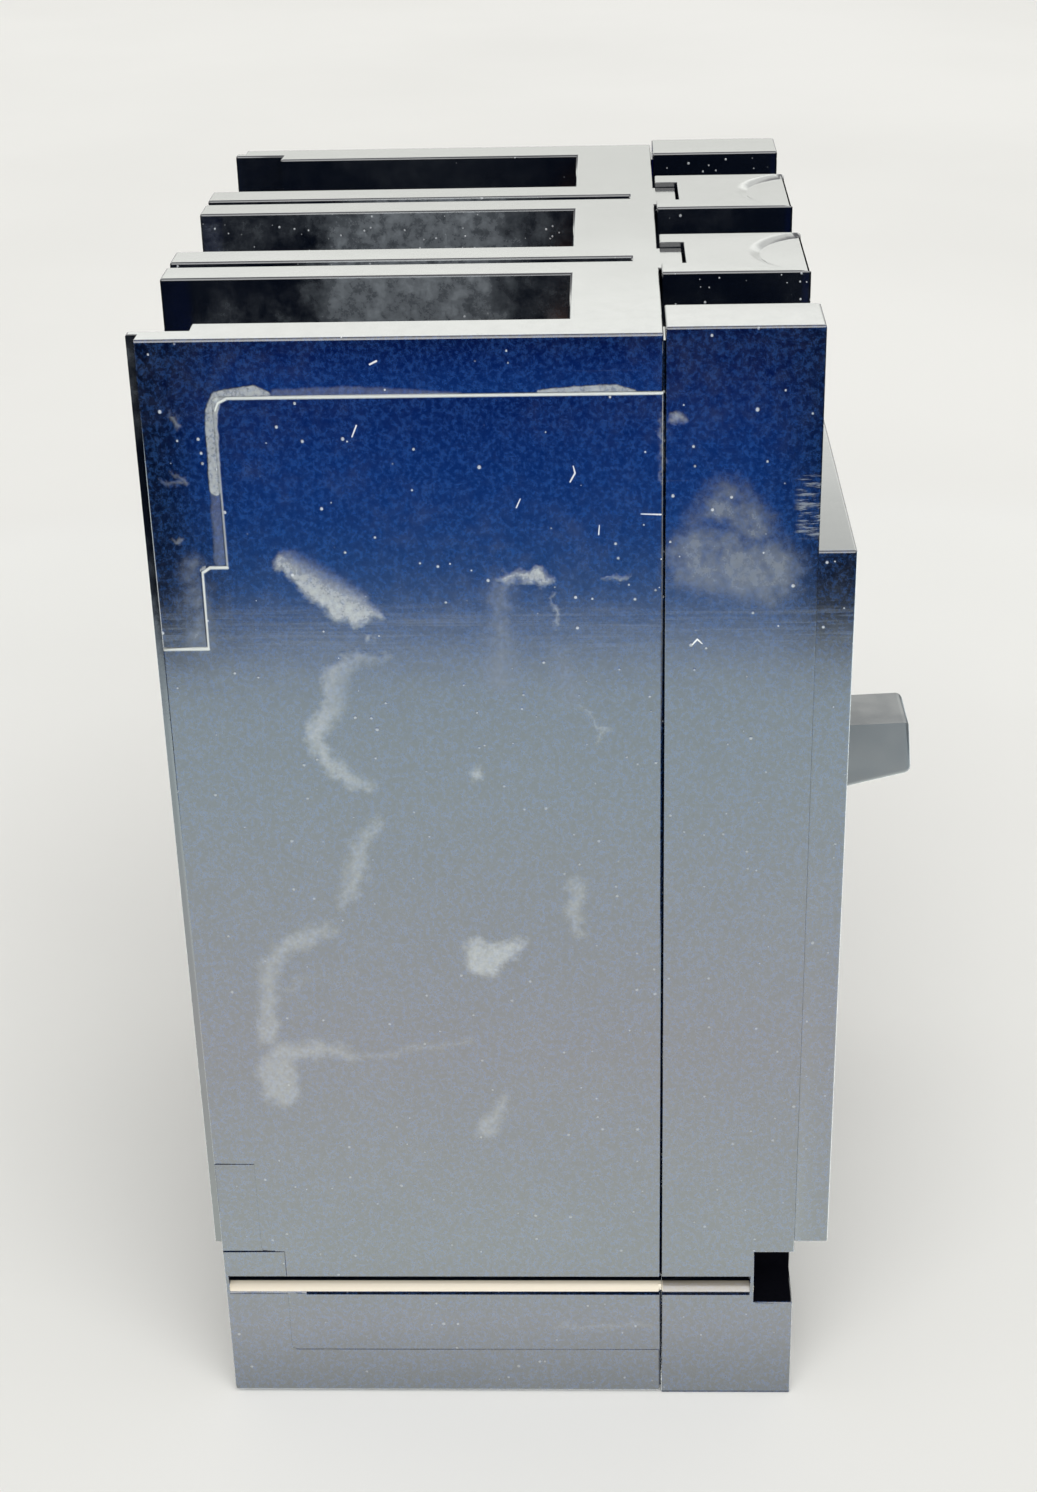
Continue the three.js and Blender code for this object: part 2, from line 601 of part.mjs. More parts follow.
// The flexible braid from a contact arm's foot to its bimetal.
function makeShunt(x) {
  const route = [
    [29.5, 64.2],
    [29, 60],
    [31, 56],
    [36, 53.5],
    [40.5, 54.5],
    [42.3, 58],
  ];
  const path = new THREE.CatmullRomCurve3(route.map(([depth, z]) => new THREE.Vector3(x, -depth, z)));
  const section = new THREE.Shape();
  section.absarc(0, 0, SHUNT_RADIUS, 0, Math.PI * 2, false);
  const profile = new THREE.Shape(section.getPoints(2).slice(0, -1));
  return solid(new THREE.ExtrudeGeometry(profile, { steps: 12, extrudePath: path, bevelEnabled: false }));
}

function makeBimetal(x) {
  return block(span(x, BIMETAL.half), BIMETAL.depth, BIMETAL.z);
}

function makeMagnet(x) {
  const arms = SIDES.map((side) => block(span(x + side * MAGNET.arm, MAGNET.thick), MAGNET.reach, MAGNET.z));
  return join(block(span(x, MAGNET.half), MAGNET.back, MAGNET.z), ...arms);
}

function makeArmature(x) {
  return block(span(x, ARMATURE.half), ARMATURE.depth, ARMATURE.z);
}

function makeLoadTerminal(x) {
  const { half, depth, z, hole, holeZ } = LOAD_STRAP;
  const front = depth + STRAP;
  const screwHole = barDeep(hole, [depth - OVER, front + OVER], [x, holeZ], 12);
  return cut(block(span(x, half), [depth, front], z), screwHole);
}

function makeLoadLug(x) {
  const { half, depth, z, wire, wireDepth } = LUG;
  const wireHole = barUp(wire, [x, wireDepth], [z[0] - OVER, z[1] + OVER]);
  const screwHole = barDeep(LUG_SCREW.radius + FIT, [wireDepth, depth[1] + OVER], [x, LUG_SCREW.z]);
  return cut(block(span(x, half), depth, z), wireHole, screwHole);
}

function makeLugScrew(x) {
  const { z, radius, depth, slot, slotDepth } = LUG_SCREW;
  const slotTool = block(span(x, radius + OVER), [slotDepth, depth[1] + OVER], span(z, slot));
  return cut(barDeep(radius, depth, [x, z]), slotTool);
}

// ---------------------------------------------------------------- trip bar and button

function makeTripBar() {
  const z = TRIP_BAR.centre[1];
  const paddles = POLES.map((x) => block(span(x, PADDLE.half), PADDLE.depth, [z - PADDLE.drop, z]));
  const finger = block(span(BUTTON.x, FINGER.half), FINGER.depth, [z, FINGER.top]);
  return join(barAcross(TRIP_BAR.radius, span(0, TRIP_BAR.halfLength), TRIP_BAR.centre), ...paddles, finger);
}

function makeButton() {
  const at = [BUTTON.x, BUTTON.z];
  return join(
    barDeep(BUTTON.radius, [BUTTON_FLANGE.depth[0], FRONT_DEPTH + BUTTON.proud], at),
    barDeep(BUTTON_FLANGE.radius, BUTTON_FLANGE.depth, at),
    barDeep(BUTTON.stem, [BUTTON.end, BUTTON_FLANGE.depth[0] + OVER], at, 12),
  );
}

function buttonSpring() {
  const { depth, radius, wire, turns } = BUTTON_SPRING;
  const [start, end] = depth.map((d) => [BUTTON.x, d, BUTTON.z]);
  return coil(start, end, radius, wire, turns);
}

// ---------------------------------------------------------------- assembly

const finishes = {
  case: { color: 0x16181c, roughness: 0.28, metalness: 0 },
  handle: { color: 0x24272b, roughness: 0.4, metalness: 0 },
  button: { color: 0x8a1a16, roughness: 0.4, metalness: 0 },
  fibre: { color: 0x5b4632, roughness: 0.8, metalness: 0 },
  copper: { color: 0xb8734a, roughness: 0.35, metalness: 1 },
  bimetal: { color: 0xa9a59a, roughness: 0.35, metalness: 1 },
  steel: { color: 0xa7a9ac, roughness: 0.35, metalness: 1 },
  spring: { color: 0x8d9094, roughness: 0.3, metalness: 1 },
  aluminium: { color: 0xc9ccd0, roughness: 0.45, metalness: 1 },
};

const breaker = new THREE.Group();
breaker.position.y = TIP_DEPTH / 2;

function addPiece(name, piece, finish) {
  const { vertProperties, triVerts } = piece.getMesh();
  const geometry = new THREE.BufferGeometry();
  geometry.setAttribute("position", new THREE.BufferAttribute(vertProperties, 3));
  geometry.setIndex(new THREE.BufferAttribute(triVerts, 1));
  geometry.computeVertexNormals();
  const mesh = new THREE.Mesh(geometry, new THREE.MeshStandardMaterial(finishes[finish]));
  mesh.name = name;
  breaker.add(mesh);
}

addPiece("base", makeBase(), "case");
addPiece("cover", makeCover(), "case");
COVER_SCREWS.forEach((at, i) => addPiece(`cover_screw_${i + 1}`, coverScrew(at), "steel"));

addPiece("handle", makeHandle(), "handle");
addPiece("handle_yoke", makeYoke(), "steel");
addPiece("frame_plate_left", makeFramePlate(-1), "steel");
addPiece("frame_plate_right", makeFramePlate(1), "steel");
addPiece("cradle", makeCradle(), "steel");
addPiece("trip_latch", makeLatch(), "steel");
addPiece("crossbar", makeCrossbar(), "fibre");
addPiece("toggle_pin", barAcross(LINK.pin, span(0, 8.3), TOGGLE_PIN, 12), "steel");
addPiece("drive_pin", barAcross(LINK.pin, span(0, 6.2), DRIVE_PIN, 12), "steel");
for (const [side, word] of [
  [-1, "left"],
  [1, "right"],
]) {
  const upper = linkSpan(side, UPPER_LINK_X);
  const lower = linkSpan(side, LOWER_LINK_X);
  addPiece(`upper_link_${word}`, link(TOGGLE_PIN, CRADLE.anchor, LINK.width, LINK.hole, upper), "steel");
  addPiece(`lower_link_${word}`, link(DRIVE_PIN, TOGGLE_PIN, LINK.width, LINK.hole, lower), "steel");
  addPiece(`main_spring_${word}`, mainSpring(side), "spring");
}

const perPole = [
  ["contact_arm", makeContactArm, "copper"],
  ["line_terminal", makeLineTerminal, "copper"],
  ["line_screw", makeLineScrew, "steel"],
  ["arc_chute", makeArcChute, "steel"],
  ["shunt", makeShunt, "copper"],
  ["bimetal", makeBimetal, "bimetal"],
  ["magnet", makeMagnet, "steel"],
  ["armature", makeArmature, "steel"],
  ["load_terminal", makeLoadTerminal, "copper"],
  ["load_lug", makeLoadLug, "aluminium"],
  ["load_lug_screw", makeLugScrew, "steel"],
];
for (const [name, make, finish] of perPole) {
  POLES.forEach((x, i) => addPiece(`${name}_${i + 1}`, make(x), finish));
}

addPiece("trip_bar", makeTripBar(), "fibre");
addPiece("trip_button", makeButton(), "button");
addPiece("trip_button_spring", buttonSpring(), "spring");

export default breaker;
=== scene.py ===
"""The looks of a three-pole molded case circuit breaker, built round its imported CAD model.

Places are given in case coordinates, in millimetres: x across the poles, depth in front of the mounting
plane, and z up from the load end. at() turns them into the frame's metres.
"""

import json
import math

import bmesh
import bpy
from mathutils import Matrix, Vector


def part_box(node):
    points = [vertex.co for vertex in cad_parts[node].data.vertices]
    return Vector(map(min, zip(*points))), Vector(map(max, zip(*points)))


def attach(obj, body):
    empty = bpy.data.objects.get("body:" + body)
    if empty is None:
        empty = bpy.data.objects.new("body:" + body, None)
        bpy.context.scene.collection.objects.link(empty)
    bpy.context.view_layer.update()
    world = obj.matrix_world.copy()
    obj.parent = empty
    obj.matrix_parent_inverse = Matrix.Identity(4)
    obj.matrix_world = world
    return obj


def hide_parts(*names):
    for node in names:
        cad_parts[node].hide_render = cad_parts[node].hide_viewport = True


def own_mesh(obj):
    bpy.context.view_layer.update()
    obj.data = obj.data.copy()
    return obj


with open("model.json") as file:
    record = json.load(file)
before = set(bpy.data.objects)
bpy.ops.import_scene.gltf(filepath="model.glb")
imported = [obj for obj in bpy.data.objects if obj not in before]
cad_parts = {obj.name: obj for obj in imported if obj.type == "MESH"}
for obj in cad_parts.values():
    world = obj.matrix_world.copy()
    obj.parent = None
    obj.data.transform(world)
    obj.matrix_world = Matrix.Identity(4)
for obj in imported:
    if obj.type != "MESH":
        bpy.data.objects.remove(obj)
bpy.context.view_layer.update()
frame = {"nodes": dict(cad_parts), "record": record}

# ---------------------------------------------------------------- dimensions, as in the CAD model

MM = 0.001
BACK_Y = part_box("base")[1].y / MM  # y of the mounting plane
HALF = 52.5  # half the case's width
JOINT = 64.4  # depth of the joint between base and cover
SHELF = 83.4  # depth of the end shelves' front
FRONT = 88.1  # depth of the raised front
POLES = (-35, 0, 35)
COVER_SCREWS = ((-47.5, 128), (47.5, 128), (-17.5, 32), (17.5, 32))


def at(x, depth, z):
    return Vector((x, BACK_Y - depth, z)) * MM


def case_place(point):
    """(x, depth, z) in millimetres of a point in the frame."""
    return point.x / MM, BACK_Y - point.y / MM, point.z / MM


# ---------------------------------------------------------------- shapes

EDGE_ANGLE = 30  # degrees; a sharper convex edge is rounded
SHARP_ANGLE = 38  # degrees; a sharper edge stays crisp in the shading
WIDEST_ROUND = 1.0


def new_piece(name, mesh):
    piece = bpy.data.objects.new(name, mesh)
    bpy.context.scene.collection.objects.link(piece)
    return piece


def from_bmesh(name, bm):
    bmesh.ops.recalc_face_normals(bm, faces=bm.faces)
    mesh = bpy.data.meshes.new(name)
    bm.to_mesh(mesh)
    bm.free()
    return new_piece(name, mesh)


def apply_modifiers(piece):
    shown = piece.evaluated_get(bpy.context.evaluated_depsgraph_get())
    mesh = bpy.data.meshes.new_from_object(shown)
    piece.modifiers.clear()
    piece.data = mesh


def copy_of(node):
    """A clean copy of a CAD node's mesh, with flat faces merged."""
    bm = bmesh.new()
    bm.from_mesh(frame["nodes"][node].data)
    bmesh.ops.remove_doubles(bm, verts=bm.verts, dist=1e-6)
    bmesh.ops.dissolve_limit(bm, angle_limit=math.radians(1), verts=bm.verts, edges=bm.edges)
    return from_bmesh(node + "_shell", bm)


def round_edges(piece, radius_of, segments=3):
    """Rounds the convex edges. radius_of says how much, in millimetres, from an edge's two case places."""
    bm = bmesh.new()
    bm.from_mesh(piece.data)
    weight = bm.edges.layers.float.new("bevel_weight_edge")
    for edge in bm.edges:
        if len(edge.link_faces) == 2 and edge.calc_face_angle_signed() > math.radians(EDGE_ANGLE):
            edge[weight] = radius_of(*(case_place(v.co) for v in edge.verts)) / WIDEST_ROUND
    bm.to_mesh(piece.data)
    bm.free()
    bevel = piece.modifiers.new("round", "BEVEL")
    bevel.limit_method = "WEIGHT"
    bevel.width = WIDEST_ROUND * MM
    bevel.segments = segments
    bevel.use_clamp_overlap = False
    apply_modifiers(piece)


def combine(piece, tool, operation):
    work = piece.modifiers.new("work", "BOOLEAN")
    work.operation = operation
    work.solver = "MANIFOLD"
    work.object = tool
    apply_modifiers(piece)
    bpy.data.objects.remove(tool)


def subtract(piece, tool):
    combine(piece, tool, "DIFFERENCE")


def add(piece, tool):
    combine(piece, tool, "UNION")


def smooth(piece, angle=SHARP_ANGLE):
    piece.data.shade_smooth()
    piece.data.set_sharp_from_angle(angle=math.radians(angle))
    normals = piece.modifiers.new("normals", "WEIGHTED_NORMAL")
    normals.keep_sharp = True


def box_tool(x, depth, z):
    bm = bmesh.new()
    bmesh.ops.create_cube(bm, size=1)
    low, high = at(x[0], depth[1], z[0]), at(x[1], depth[0], z[1])
    bmesh.ops.transform(
        bm,
        matrix=Matrix.Translation((low + high) / 2) @ Matrix.Diagonal((*(high - low), 1)),
        verts=bm.verts,
    )
    return from_bmesh("box_tool", bm)


def cone_tool(x, depth, z, radii):
    """A cutter with an upright axis: radii at its two z places."""
    bm = bmesh.new()
    low, high = (radius * MM for radius in radii)
    tall = (z[1] - z[0]) * MM
    bmesh.ops.create_cone(bm, cap_ends=True, segments=96, radius1=low, radius2=high, depth=tall)
    bmesh.ops.translate(bm, vec=at(x, depth, (z[0] + z[1]) / 2), verts=bm.verts)
    return from_bmesh("cone_tool", bm)


def groove_tool(near, far, surface, deep):
    """A cutter along two lines of (depth, z) points: at the surface on the near one, deep on the far one."""
    out = surface + (surface - deep) * 4
    bm = bmesh.new()
    rings = []
    for a, b in zip(near, far):
        corners = ((surface, a), (deep, b), (out, b), (out, a))
        rings.append([bm.verts.new(at(x, *place)) for x, place in corners])
    for one, other in zip(rings, rings[1:]):
        for i in range(4):
            j = (i + 1) % 4
            bm.faces.new((one[i], one[j], other[j], other[i]))
    bm.faces.new(rings[0])
    bm.faces.new(rings[-1])
    return from_bmesh("groove_tool", bm)


# ---------------------------------------------------------------- base and cover

SEAM_ROUND = 0.2
FINE_ROUND = 0.12
WALL_ROUND = 0.32
FOOT_ROUND = 1.0
INNER_X = 49.5  # the walls in the sides start this far from the middle
BASE_HOLLOW = {"depths": (0.1, math.inf), "heights": (24.1, 130.9)}  # inner edges here stay sharp
COVER_HOLLOW = {"depths": (-math.inf, FRONT - 3.3), "heights": (25, 133.9)}
SIDE_GROOVE = (17.9, 21.6)  # the side grooves' edges lie between these heights
GROOVE_X = 51  # and further out than this
BACK_EDGE = 2  # an edge nearer the mounting plane than this belongs to the back
FOOT_EDGE = 0.5  # and one lower than this to the foot
PANEL = {"near": 7.35, "far": 10.6, "corner": 0.8}
PANEL_TOP = {"end": 152.2, "shoulder": 130.6, "back": 119.7, "width": 0.45, "recess": 0.3}
PANEL_FOOT = {"end": 8.3, "shoulder": 26.0, "back": 41.3, "width": 0.3, "recess": 0.12}


def rounded_corner(depth, z, size):
    points = []
    for step in range(4):
        angle = math.radians(step * 30)
        points.append((depth + abs(size) * (1 - math.sin(angle)), z - size * (1 - math.cos(angle))))
    return points


def panel_line(panel, towards, grow):
    """The (depth, z) points round a side panel's end, moved outwards by grow.

    towards is 1 at the line end and -1 at the load end.
    """
    rise = grow * towards
    near, far, corner = PANEL["near"] - grow, PANEL["far"] - grow, PANEL["corner"] * towards
    end, shoulder, back = (panel[key] + rise for key in ("end", "shoulder", "back"))
    points = [(JOINT + 2, end)]
    points += rounded_corner(far, end, corner)
    points.append((far, shoulder))
    points += rounded_corner(near, shoulder, corner)
    points += [(near, back), (-2, back)]
    return points


def in_hollow(place, depths, heights):
    x, depth, z = place
    return abs(x) < INNER_X and depths[0] < depth < depths[1] and heights[0] < z < heights[1]


def in_side_groove(a, b):
    low, high = SIDE_GROOVE
    return all(low < z < high and abs(x) > GROOVE_X for x, depth, z in (a, b))


def base_round(a, b):
    if any(in_hollow(place, **BASE_HOLLOW) for place in (a, b)):
        return 0
    at_back = max(a[1], b[1]) < BACK_EDGE
    if at_back and max(a[2], b[2]) < FOOT_EDGE:
        return FOOT_ROUND
    if min(a[1], b[1]) > JOINT + 0.2:
        return FINE_ROUND
    if at_back and min(abs(a[0]), abs(b[0])) > INNER_X:
        return FINE_ROUND
    if min(a[1], b[1]) > JOINT - 0.5 or in_side_groove(a, b):
        return SEAM_ROUND
    return WALL_ROUND


HEEL = {"z": 25.8, "depth": 0.95}  # below this height the back is set in by this much
SLITS = [  # narrow dark joints in the sides: depths, heights, how far in
    ((1.9, 77.2), (19.6, 21.3), 3.0),
    ((13.0, 77.2), (18.1, 18.5), 0.7),
    ((1.2, 9.0), (25.7, 26.0), 0.5),
]


def cut_slits(piece, depths):
    """Cuts the slits that lie within a piece's depths into both sides."""
    for span, z, deep in SLITS:
        near, far = max(span[0], depths[0]), min(span[1], depths[1])
        if far - near < 1:
            continue
        for side in (-1, 1):
            x = sorted((side * (HALF - deep), side * (HALF + 1)))
            subtract(piece, box_tool(x, (near, far), z))


# A lip behind each side's seam, which keeps light from shining through it.
LIP = {"x": (46.2, 51.9), "depth": (JOINT - 0.4, JOINT + 0.1), "z": (1.0, 158.6)}


def make_base():
    base = copy_of("base")
    round_edges(base, base_round)
    for side in (-1, 1):
        for panel, towards in ((PANEL_TOP, 1), (PANEL_FOOT, -1)):
            lines = [panel_line(panel, towards, grow) for grow in (0, panel["width"])]
            subtract(base, groove_tool(*lines, side * HALF, side * (HALF - panel["recess"])))
        add(base, box_tool(sorted(side * x for x in LIP["x"]), LIP["depth"], LIP["z"]))
    subtract(base, box_tool((-HALF - 1, HALF + 1), (-1, HEEL["depth"]), (-1, HEEL["z"])))
    cut_slits(base, (0, JOINT + 1))
    return base


TONGUES = (-17.5, 17.5)  # x of the cover's tongues between the poles
TONGUE_REACH = {"x": 5.7, "depth": 68, "foot": 10, "top": 150}


def by_tongue(x, depth, z):
    near = min(abs(x - tongue) for tongue in TONGUES) < TONGUE_REACH["x"]
    at_end = z > TONGUE_REACH["top"] or z < TONGUE_REACH["foot"]
    return near and at_end and depth < TONGUE_REACH["depth"]


def on_narrow_ledge(a, b):
    """The side edge of the ledge beside the raised front, which is narrower than a wall's rounding."""
    return all(abs(x) > HALF - 0.01 and abs(depth - SHELF) < 0.01 for x, depth, z in (a, b))


def cover_round(a, b):
    if any(in_hollow(place, **COVER_HOLLOW) for place in (a, b)):
        return 0
    if by_tongue(*a) and by_tongue(*b):
        return FINE_ROUND
    if max(a[1], b[1]) < JOINT + 0.5 or in_side_groove(a, b) or on_narrow_ledge(a, b):
        return SEAM_ROUND
    return WALL_ROUND


THUMB = {"depth": 86.9, "z": (159.8, 160.4), "radii": (9.5, 11.3)}  # a shallow dish in each tongue's end


def make_cover():
    cover = copy_of("cover")
    round_edges(cover, cover_round)
    for x in TONGUES:
        subtract(cover, cone_tool(x, THUMB["depth"], THUMB["z"], THUMB["radii"]))
    cut_slits(cover, (JOINT, SHELF))
    return cover


# ---------------------------------------------------------------- handle

LEVER_ROUND = 0.9
LEVER_DEPTH = 83.5  # the lever stands out from here, and what is behind it stays sharp


def handle_round(a, b):
    return 0 if min(a[1], b[1]) < LEVER_DEPTH else LEVER_ROUND


def make_handle():
    handle = copy_of("handle")
    round_edges(handle, handle_round, segments=4)
    return handle


# ---------------------------------------------------------------- screws

AROUND = 48
PITCH = 0.8
TURN_STEPS = 5  # rows of points in one turn of a thread
COVER_SCREW = {
    "tip": 45,
    "seat": 78.3,
    "shank": 1.6,
    "thread": 0.28,
    "head": [(0, 1.6), (0, 2.95), (0.15, 3.1), (1.4, 3.1), (1.85, 2.9), (2.1, 2.4), (2.2, 1.5)],
    "slot": {"x": 0.45, "z": 4, "depths": (79.5, 82)},
}
LINE_SCREW = {
    "tip": 47,
    "seat": JOINT + 0.3,
    "shank": 2.7,
    "thread": 0.35,
    "head": [
        (0, 2.7),
        (0, 5.45),
        (0.15, 5.6),
        (1.05, 5.6),
        (1.2, 5.45),
        (1.2, 4.4),
        (2.6, 4.4),
        (3.1, 4.1),
        (3.35, 3.4),
        (3.4, 2.4),
    ],
    "slot": {"x": 5, "z": 0.6, "depths": (JOINT + 0.3 + 2.3, JOINT + 0.3 + 4)},
}
LINE_SCREW_Z = 146
LUG_SCREW = {"z": 12.5, "start": 57.1, "step": 0.16, "radius": 3.4, "thread": 0.35, "rows": 52}
LUG_SCREW_TIP = [(56.4, 2.2, 0), (57.0, 3.1, 0)]
LUG_SCREW_HEAD = [(65.6, 3.4, 0), (66.7, 3.4, 0), (67, 3.1, 0)]
LUG_SCREW_SLOT = {"x": 4.5, "z": 0.6, "depths": (65.6, 68)}


def turned(name, x, z, profile, thread):
    """A solid turned along the depth direction, from rows of (depth, radius, 1 where the thread is cut)."""
    bm = bmesh.new()
    rings = []
    for depth, radius, cut in profile:
        ring = []
        for i in range(AROUND):
            turn = i / AROUND
            phase = (depth / PITCH - turn) % 1
            r = radius - cut * thread * abs(2 * phase - 1)
            angle = turn * math.tau
            ring.append(bm.verts.new(at(x + r * math.cos(angle), depth, z + r * math.sin(angle))))
        rings.append(ring)
    for one, other in zip(rings, rings[1:]):
        for i in range(AROUND):
            j = (i + 1) % AROUND
            bm.faces.new((one[i], one[j], other[j], other[i]))
    bm.faces.new(rings[0])
    bm.faces.new(rings[-1])
    return from_bmesh(name, bm)


def shank(tip, end, radius):
    """The rows of a pointed, threaded shank."""
    rows = [(tip, radius * 0.45, 0), (tip + 0.6, radius * 0.9, 0)]
    step = PITCH / TURN_STEPS
    count = int((end - tip - 1) / step)
    rows += [(tip + 0.7 + i * step, radius, 1) for i in range(count)]
    return rows + [(end - 0.2, radius * 0.9, 0)]


def cut_slot(screw, x, z, slot):
    half_x, half_z = slot["x"], slot["z"]
    subtract(screw, box_tool((x - half_x, x + half_x), slot["depths"], (z - half_z, z + half_z)))


def make_screw(name, x, z, kind):
    rows = shank(kind["tip"], kind["seat"], kind["shank"])
    rows += [(kind["seat"] + rise, radius, 0) for rise, radius in kind["head"]]
    screw = turned(name, x, z, rows, kind["thread"])
    cut_slot(screw, x, z, kind["slot"])
    return screw


def make_lug_screw(name, x):
    start, step, radius, z = (LUG_SCREW[key] for key in ("start", "step", "radius", "z"))
    threaded = [(start + i * step, radius, 1) for i in range(LUG_SCREW["rows"])]
    screw = turned(name, x, z, LUG_SCREW_TIP + threaded + LUG_SCREW_HEAD, LUG_SCREW["thread"])
    cut_slot(screw, x, z, LUG_SCREW_SLOT)
    return screw


def round_wire(piece):
    rounder = piece.modifiers.new("round_wire", "SUBSURF")
    rounder.levels = rounder.render_levels = 2


def make_button_spring():
    spring = copy_of("trip_button_spring")
    round_wire(spring)
    apply_modifiers(spring)
    return spring


def shorten_with_button(spring):
    """Gives the spring a mesh of its own."""
    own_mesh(spring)


# ---------------------------------------------------------------- node trees


class Tree:
    """A short way to write a material's nodes. An input takes a number, a tuple or another node's output."""

    def __init__(self, tree):
        self.tree = tree
        tree.nodes.clear()

    def node(self, kind, *inputs, out=0, **settings):
        made = self.tree.nodes.new(kind)
        for key, value in settings.items():
            setattr(made, key, value)
        for i, value in enumerate(inputs):
            self.put(made.inputs[i], value)
        return made.outputs[out]

    def put(self, socket, value):
        if value is None:
            return
        if isinstance(value, bpy.types.NodeSocket):
            self.tree.links.new(value, socket)
        else:
            socket.default_value = value

    def math(self, operation, a, b=None, c=None, clamp=False):
        return self.node("ShaderNodeMath", a, b, c, operation=operation, use_clamp=clamp)

    def vector(self, operation, a, b=None, c=None):
        made = self.tree.nodes.new("ShaderNodeVectorMath")
        made.operation = operation
        for i, value in enumerate((a, b, c)):
            self.put(made.inputs[i], value)
        return made.outputs["Value" if operation in ("DOT_PRODUCT", "LENGTH", "DISTANCE") else "Vector"]

    def times(self, *values):
        product = values[0]
        for value in values[1:]:
            product = self.math("MULTIPLY", product, value)
        return product

    def most(self, *values):
        highest = values[0]
        for value in values[1:]:
            highest = self.math("MAXIMUM", highest, value)
        return highest

    def within(self, value, low, high):
        return self.times(self.math("GREATER_THAN", value, low), self.math("LESS_THAN", value, high))

    def between(self, value, low, high, out_low=0.0, out_high=1.0):
        """From out_low to out_high as value goes from low to high, eased at both ends."""
        made = self.tree.nodes.new("ShaderNodeMapRange")
        made.interpolation_type = "SMOOTHSTEP"
        for i, v in enumerate((value, low, high, out_low, out_high)):
            self.put(made.inputs[i], v)
        return made.outputs[0]

    def noise(self, point, scale, detail=3.0, rough=0.55, shift=0.0, color=False):
        made = self.tree.nodes.new("ShaderNodeTexNoise")
        if shift:
            point = self.vector("ADD", point, (shift, shift * 0.7, shift * 1.3))
        self.put(made.inputs["Vector"], point)
        made.inputs["Scale"].default_value = scale
        made.inputs["Detail"].default_value = detail
        made.inputs["Roughness"].default_value = rough
        return made.outputs["Color" if color else "Fac"]

    def cells(self, point, scale, randomness=1.0):
        made = self.tree.nodes.new("ShaderNodeTexVoronoi")
        self.put(made.inputs["Vector"], point)
        made.inputs["Scale"].default_value = scale
        made.inputs["Randomness"].default_value = randomness
        return made.outputs["Distance"], made.outputs["Color"]

    def mix(self, amount, a, b):
        made = self.tree.nodes.new("ShaderNodeMix")
        made.data_type = "RGBA"
        self.put(made.inputs[0], amount)
        self.put(made.inputs[6], a)
        self.put(made.inputs[7], b)
        return made.outputs[2]

    def ramp(self, value, stops):
        made = self.tree.nodes.new("ShaderNodeValToRGB")
        elements = made.color_ramp.elements
        elements[0].position, elements[0].color = stops[0][0], (*stops[0][1], 1)
        elements[1].position, elements[1].color = stops[-1][0], (*stops[-1][1], 1)
        for place, color in stops[1:-1]:
            elements.new(place).color = (*color, 1)
        self.put(made.inputs[0], value)
        return made.outputs[0]

    def group(self, group, *inputs):
        made = self.tree.nodes.new("ShaderNodeGroup")
        made.node_tree = group
        for i, value in enumerate(inputs):
            self.put(made.inputs[i], value)
        return made.outputs[0]

    def parts(self, vector):
        made = self.tree.nodes.new("ShaderNodeSeparateXYZ")
        self.put(made.inputs[0], vector)
        return made.outputs


def new_material(name):
    material = bpy.data.materials.new(name)
    material.use_nodes = True
    return material, Tree(material.node_tree)


def place_in_case(tree):
    """The shaded point in case coordinates, which stay with the piece as it moves."""
    point = tree.node("ShaderNodeTexCoord", out=3)
    return tree.vector("MULTIPLY_ADD", point, (1 / MM, -1 / MM, 1 / MM), (0, BACK_Y, 0))


def surface(tree, color, roughness, normal=None, **constants):
    shader = tree.tree.nodes.new("ShaderNodeBsdfPrincipled")
    tree.put(shader.inputs["Base Color"], color)
    tree.put(shader.inputs["Roughness"], roughness)
    if normal is not None:
        tree.put(shader.inputs["Normal"], normal)
    for key, value in constants.items():
        shader.inputs[key.replace("_", " ")].default_value = value
    return shader.outputs[0]


def show(tree, shader):
    out = tree.tree.nodes.new("ShaderNodeOutputMaterial")
    tree.tree.links.new(shader, out.inputs[0])


def finish_material(tree, *settings, **constants):
    show(tree, surface(tree, *settings, **constants))


def bump(tree, height, distance, strength=1.0, normal=None):
    made = tree.tree.nodes.new("ShaderNodeBump")
    made.inputs["Strength"].default_value = strength
    made.inputs["Distance"].default_value = distance
    tree.put(made.inputs["Height"], height)
    if normal is not None:
        tree.put(made.inputs["Normal"], normal)
    return made.outputs[0]


STROKE_INPUTS = {
    "Point": "Vector",
    "From": "Vector",
    "To": "Vector",
    "From radius": "Float",
    "To radius": "Float",
    "So far": "Float",
}
TINY = 1e-7


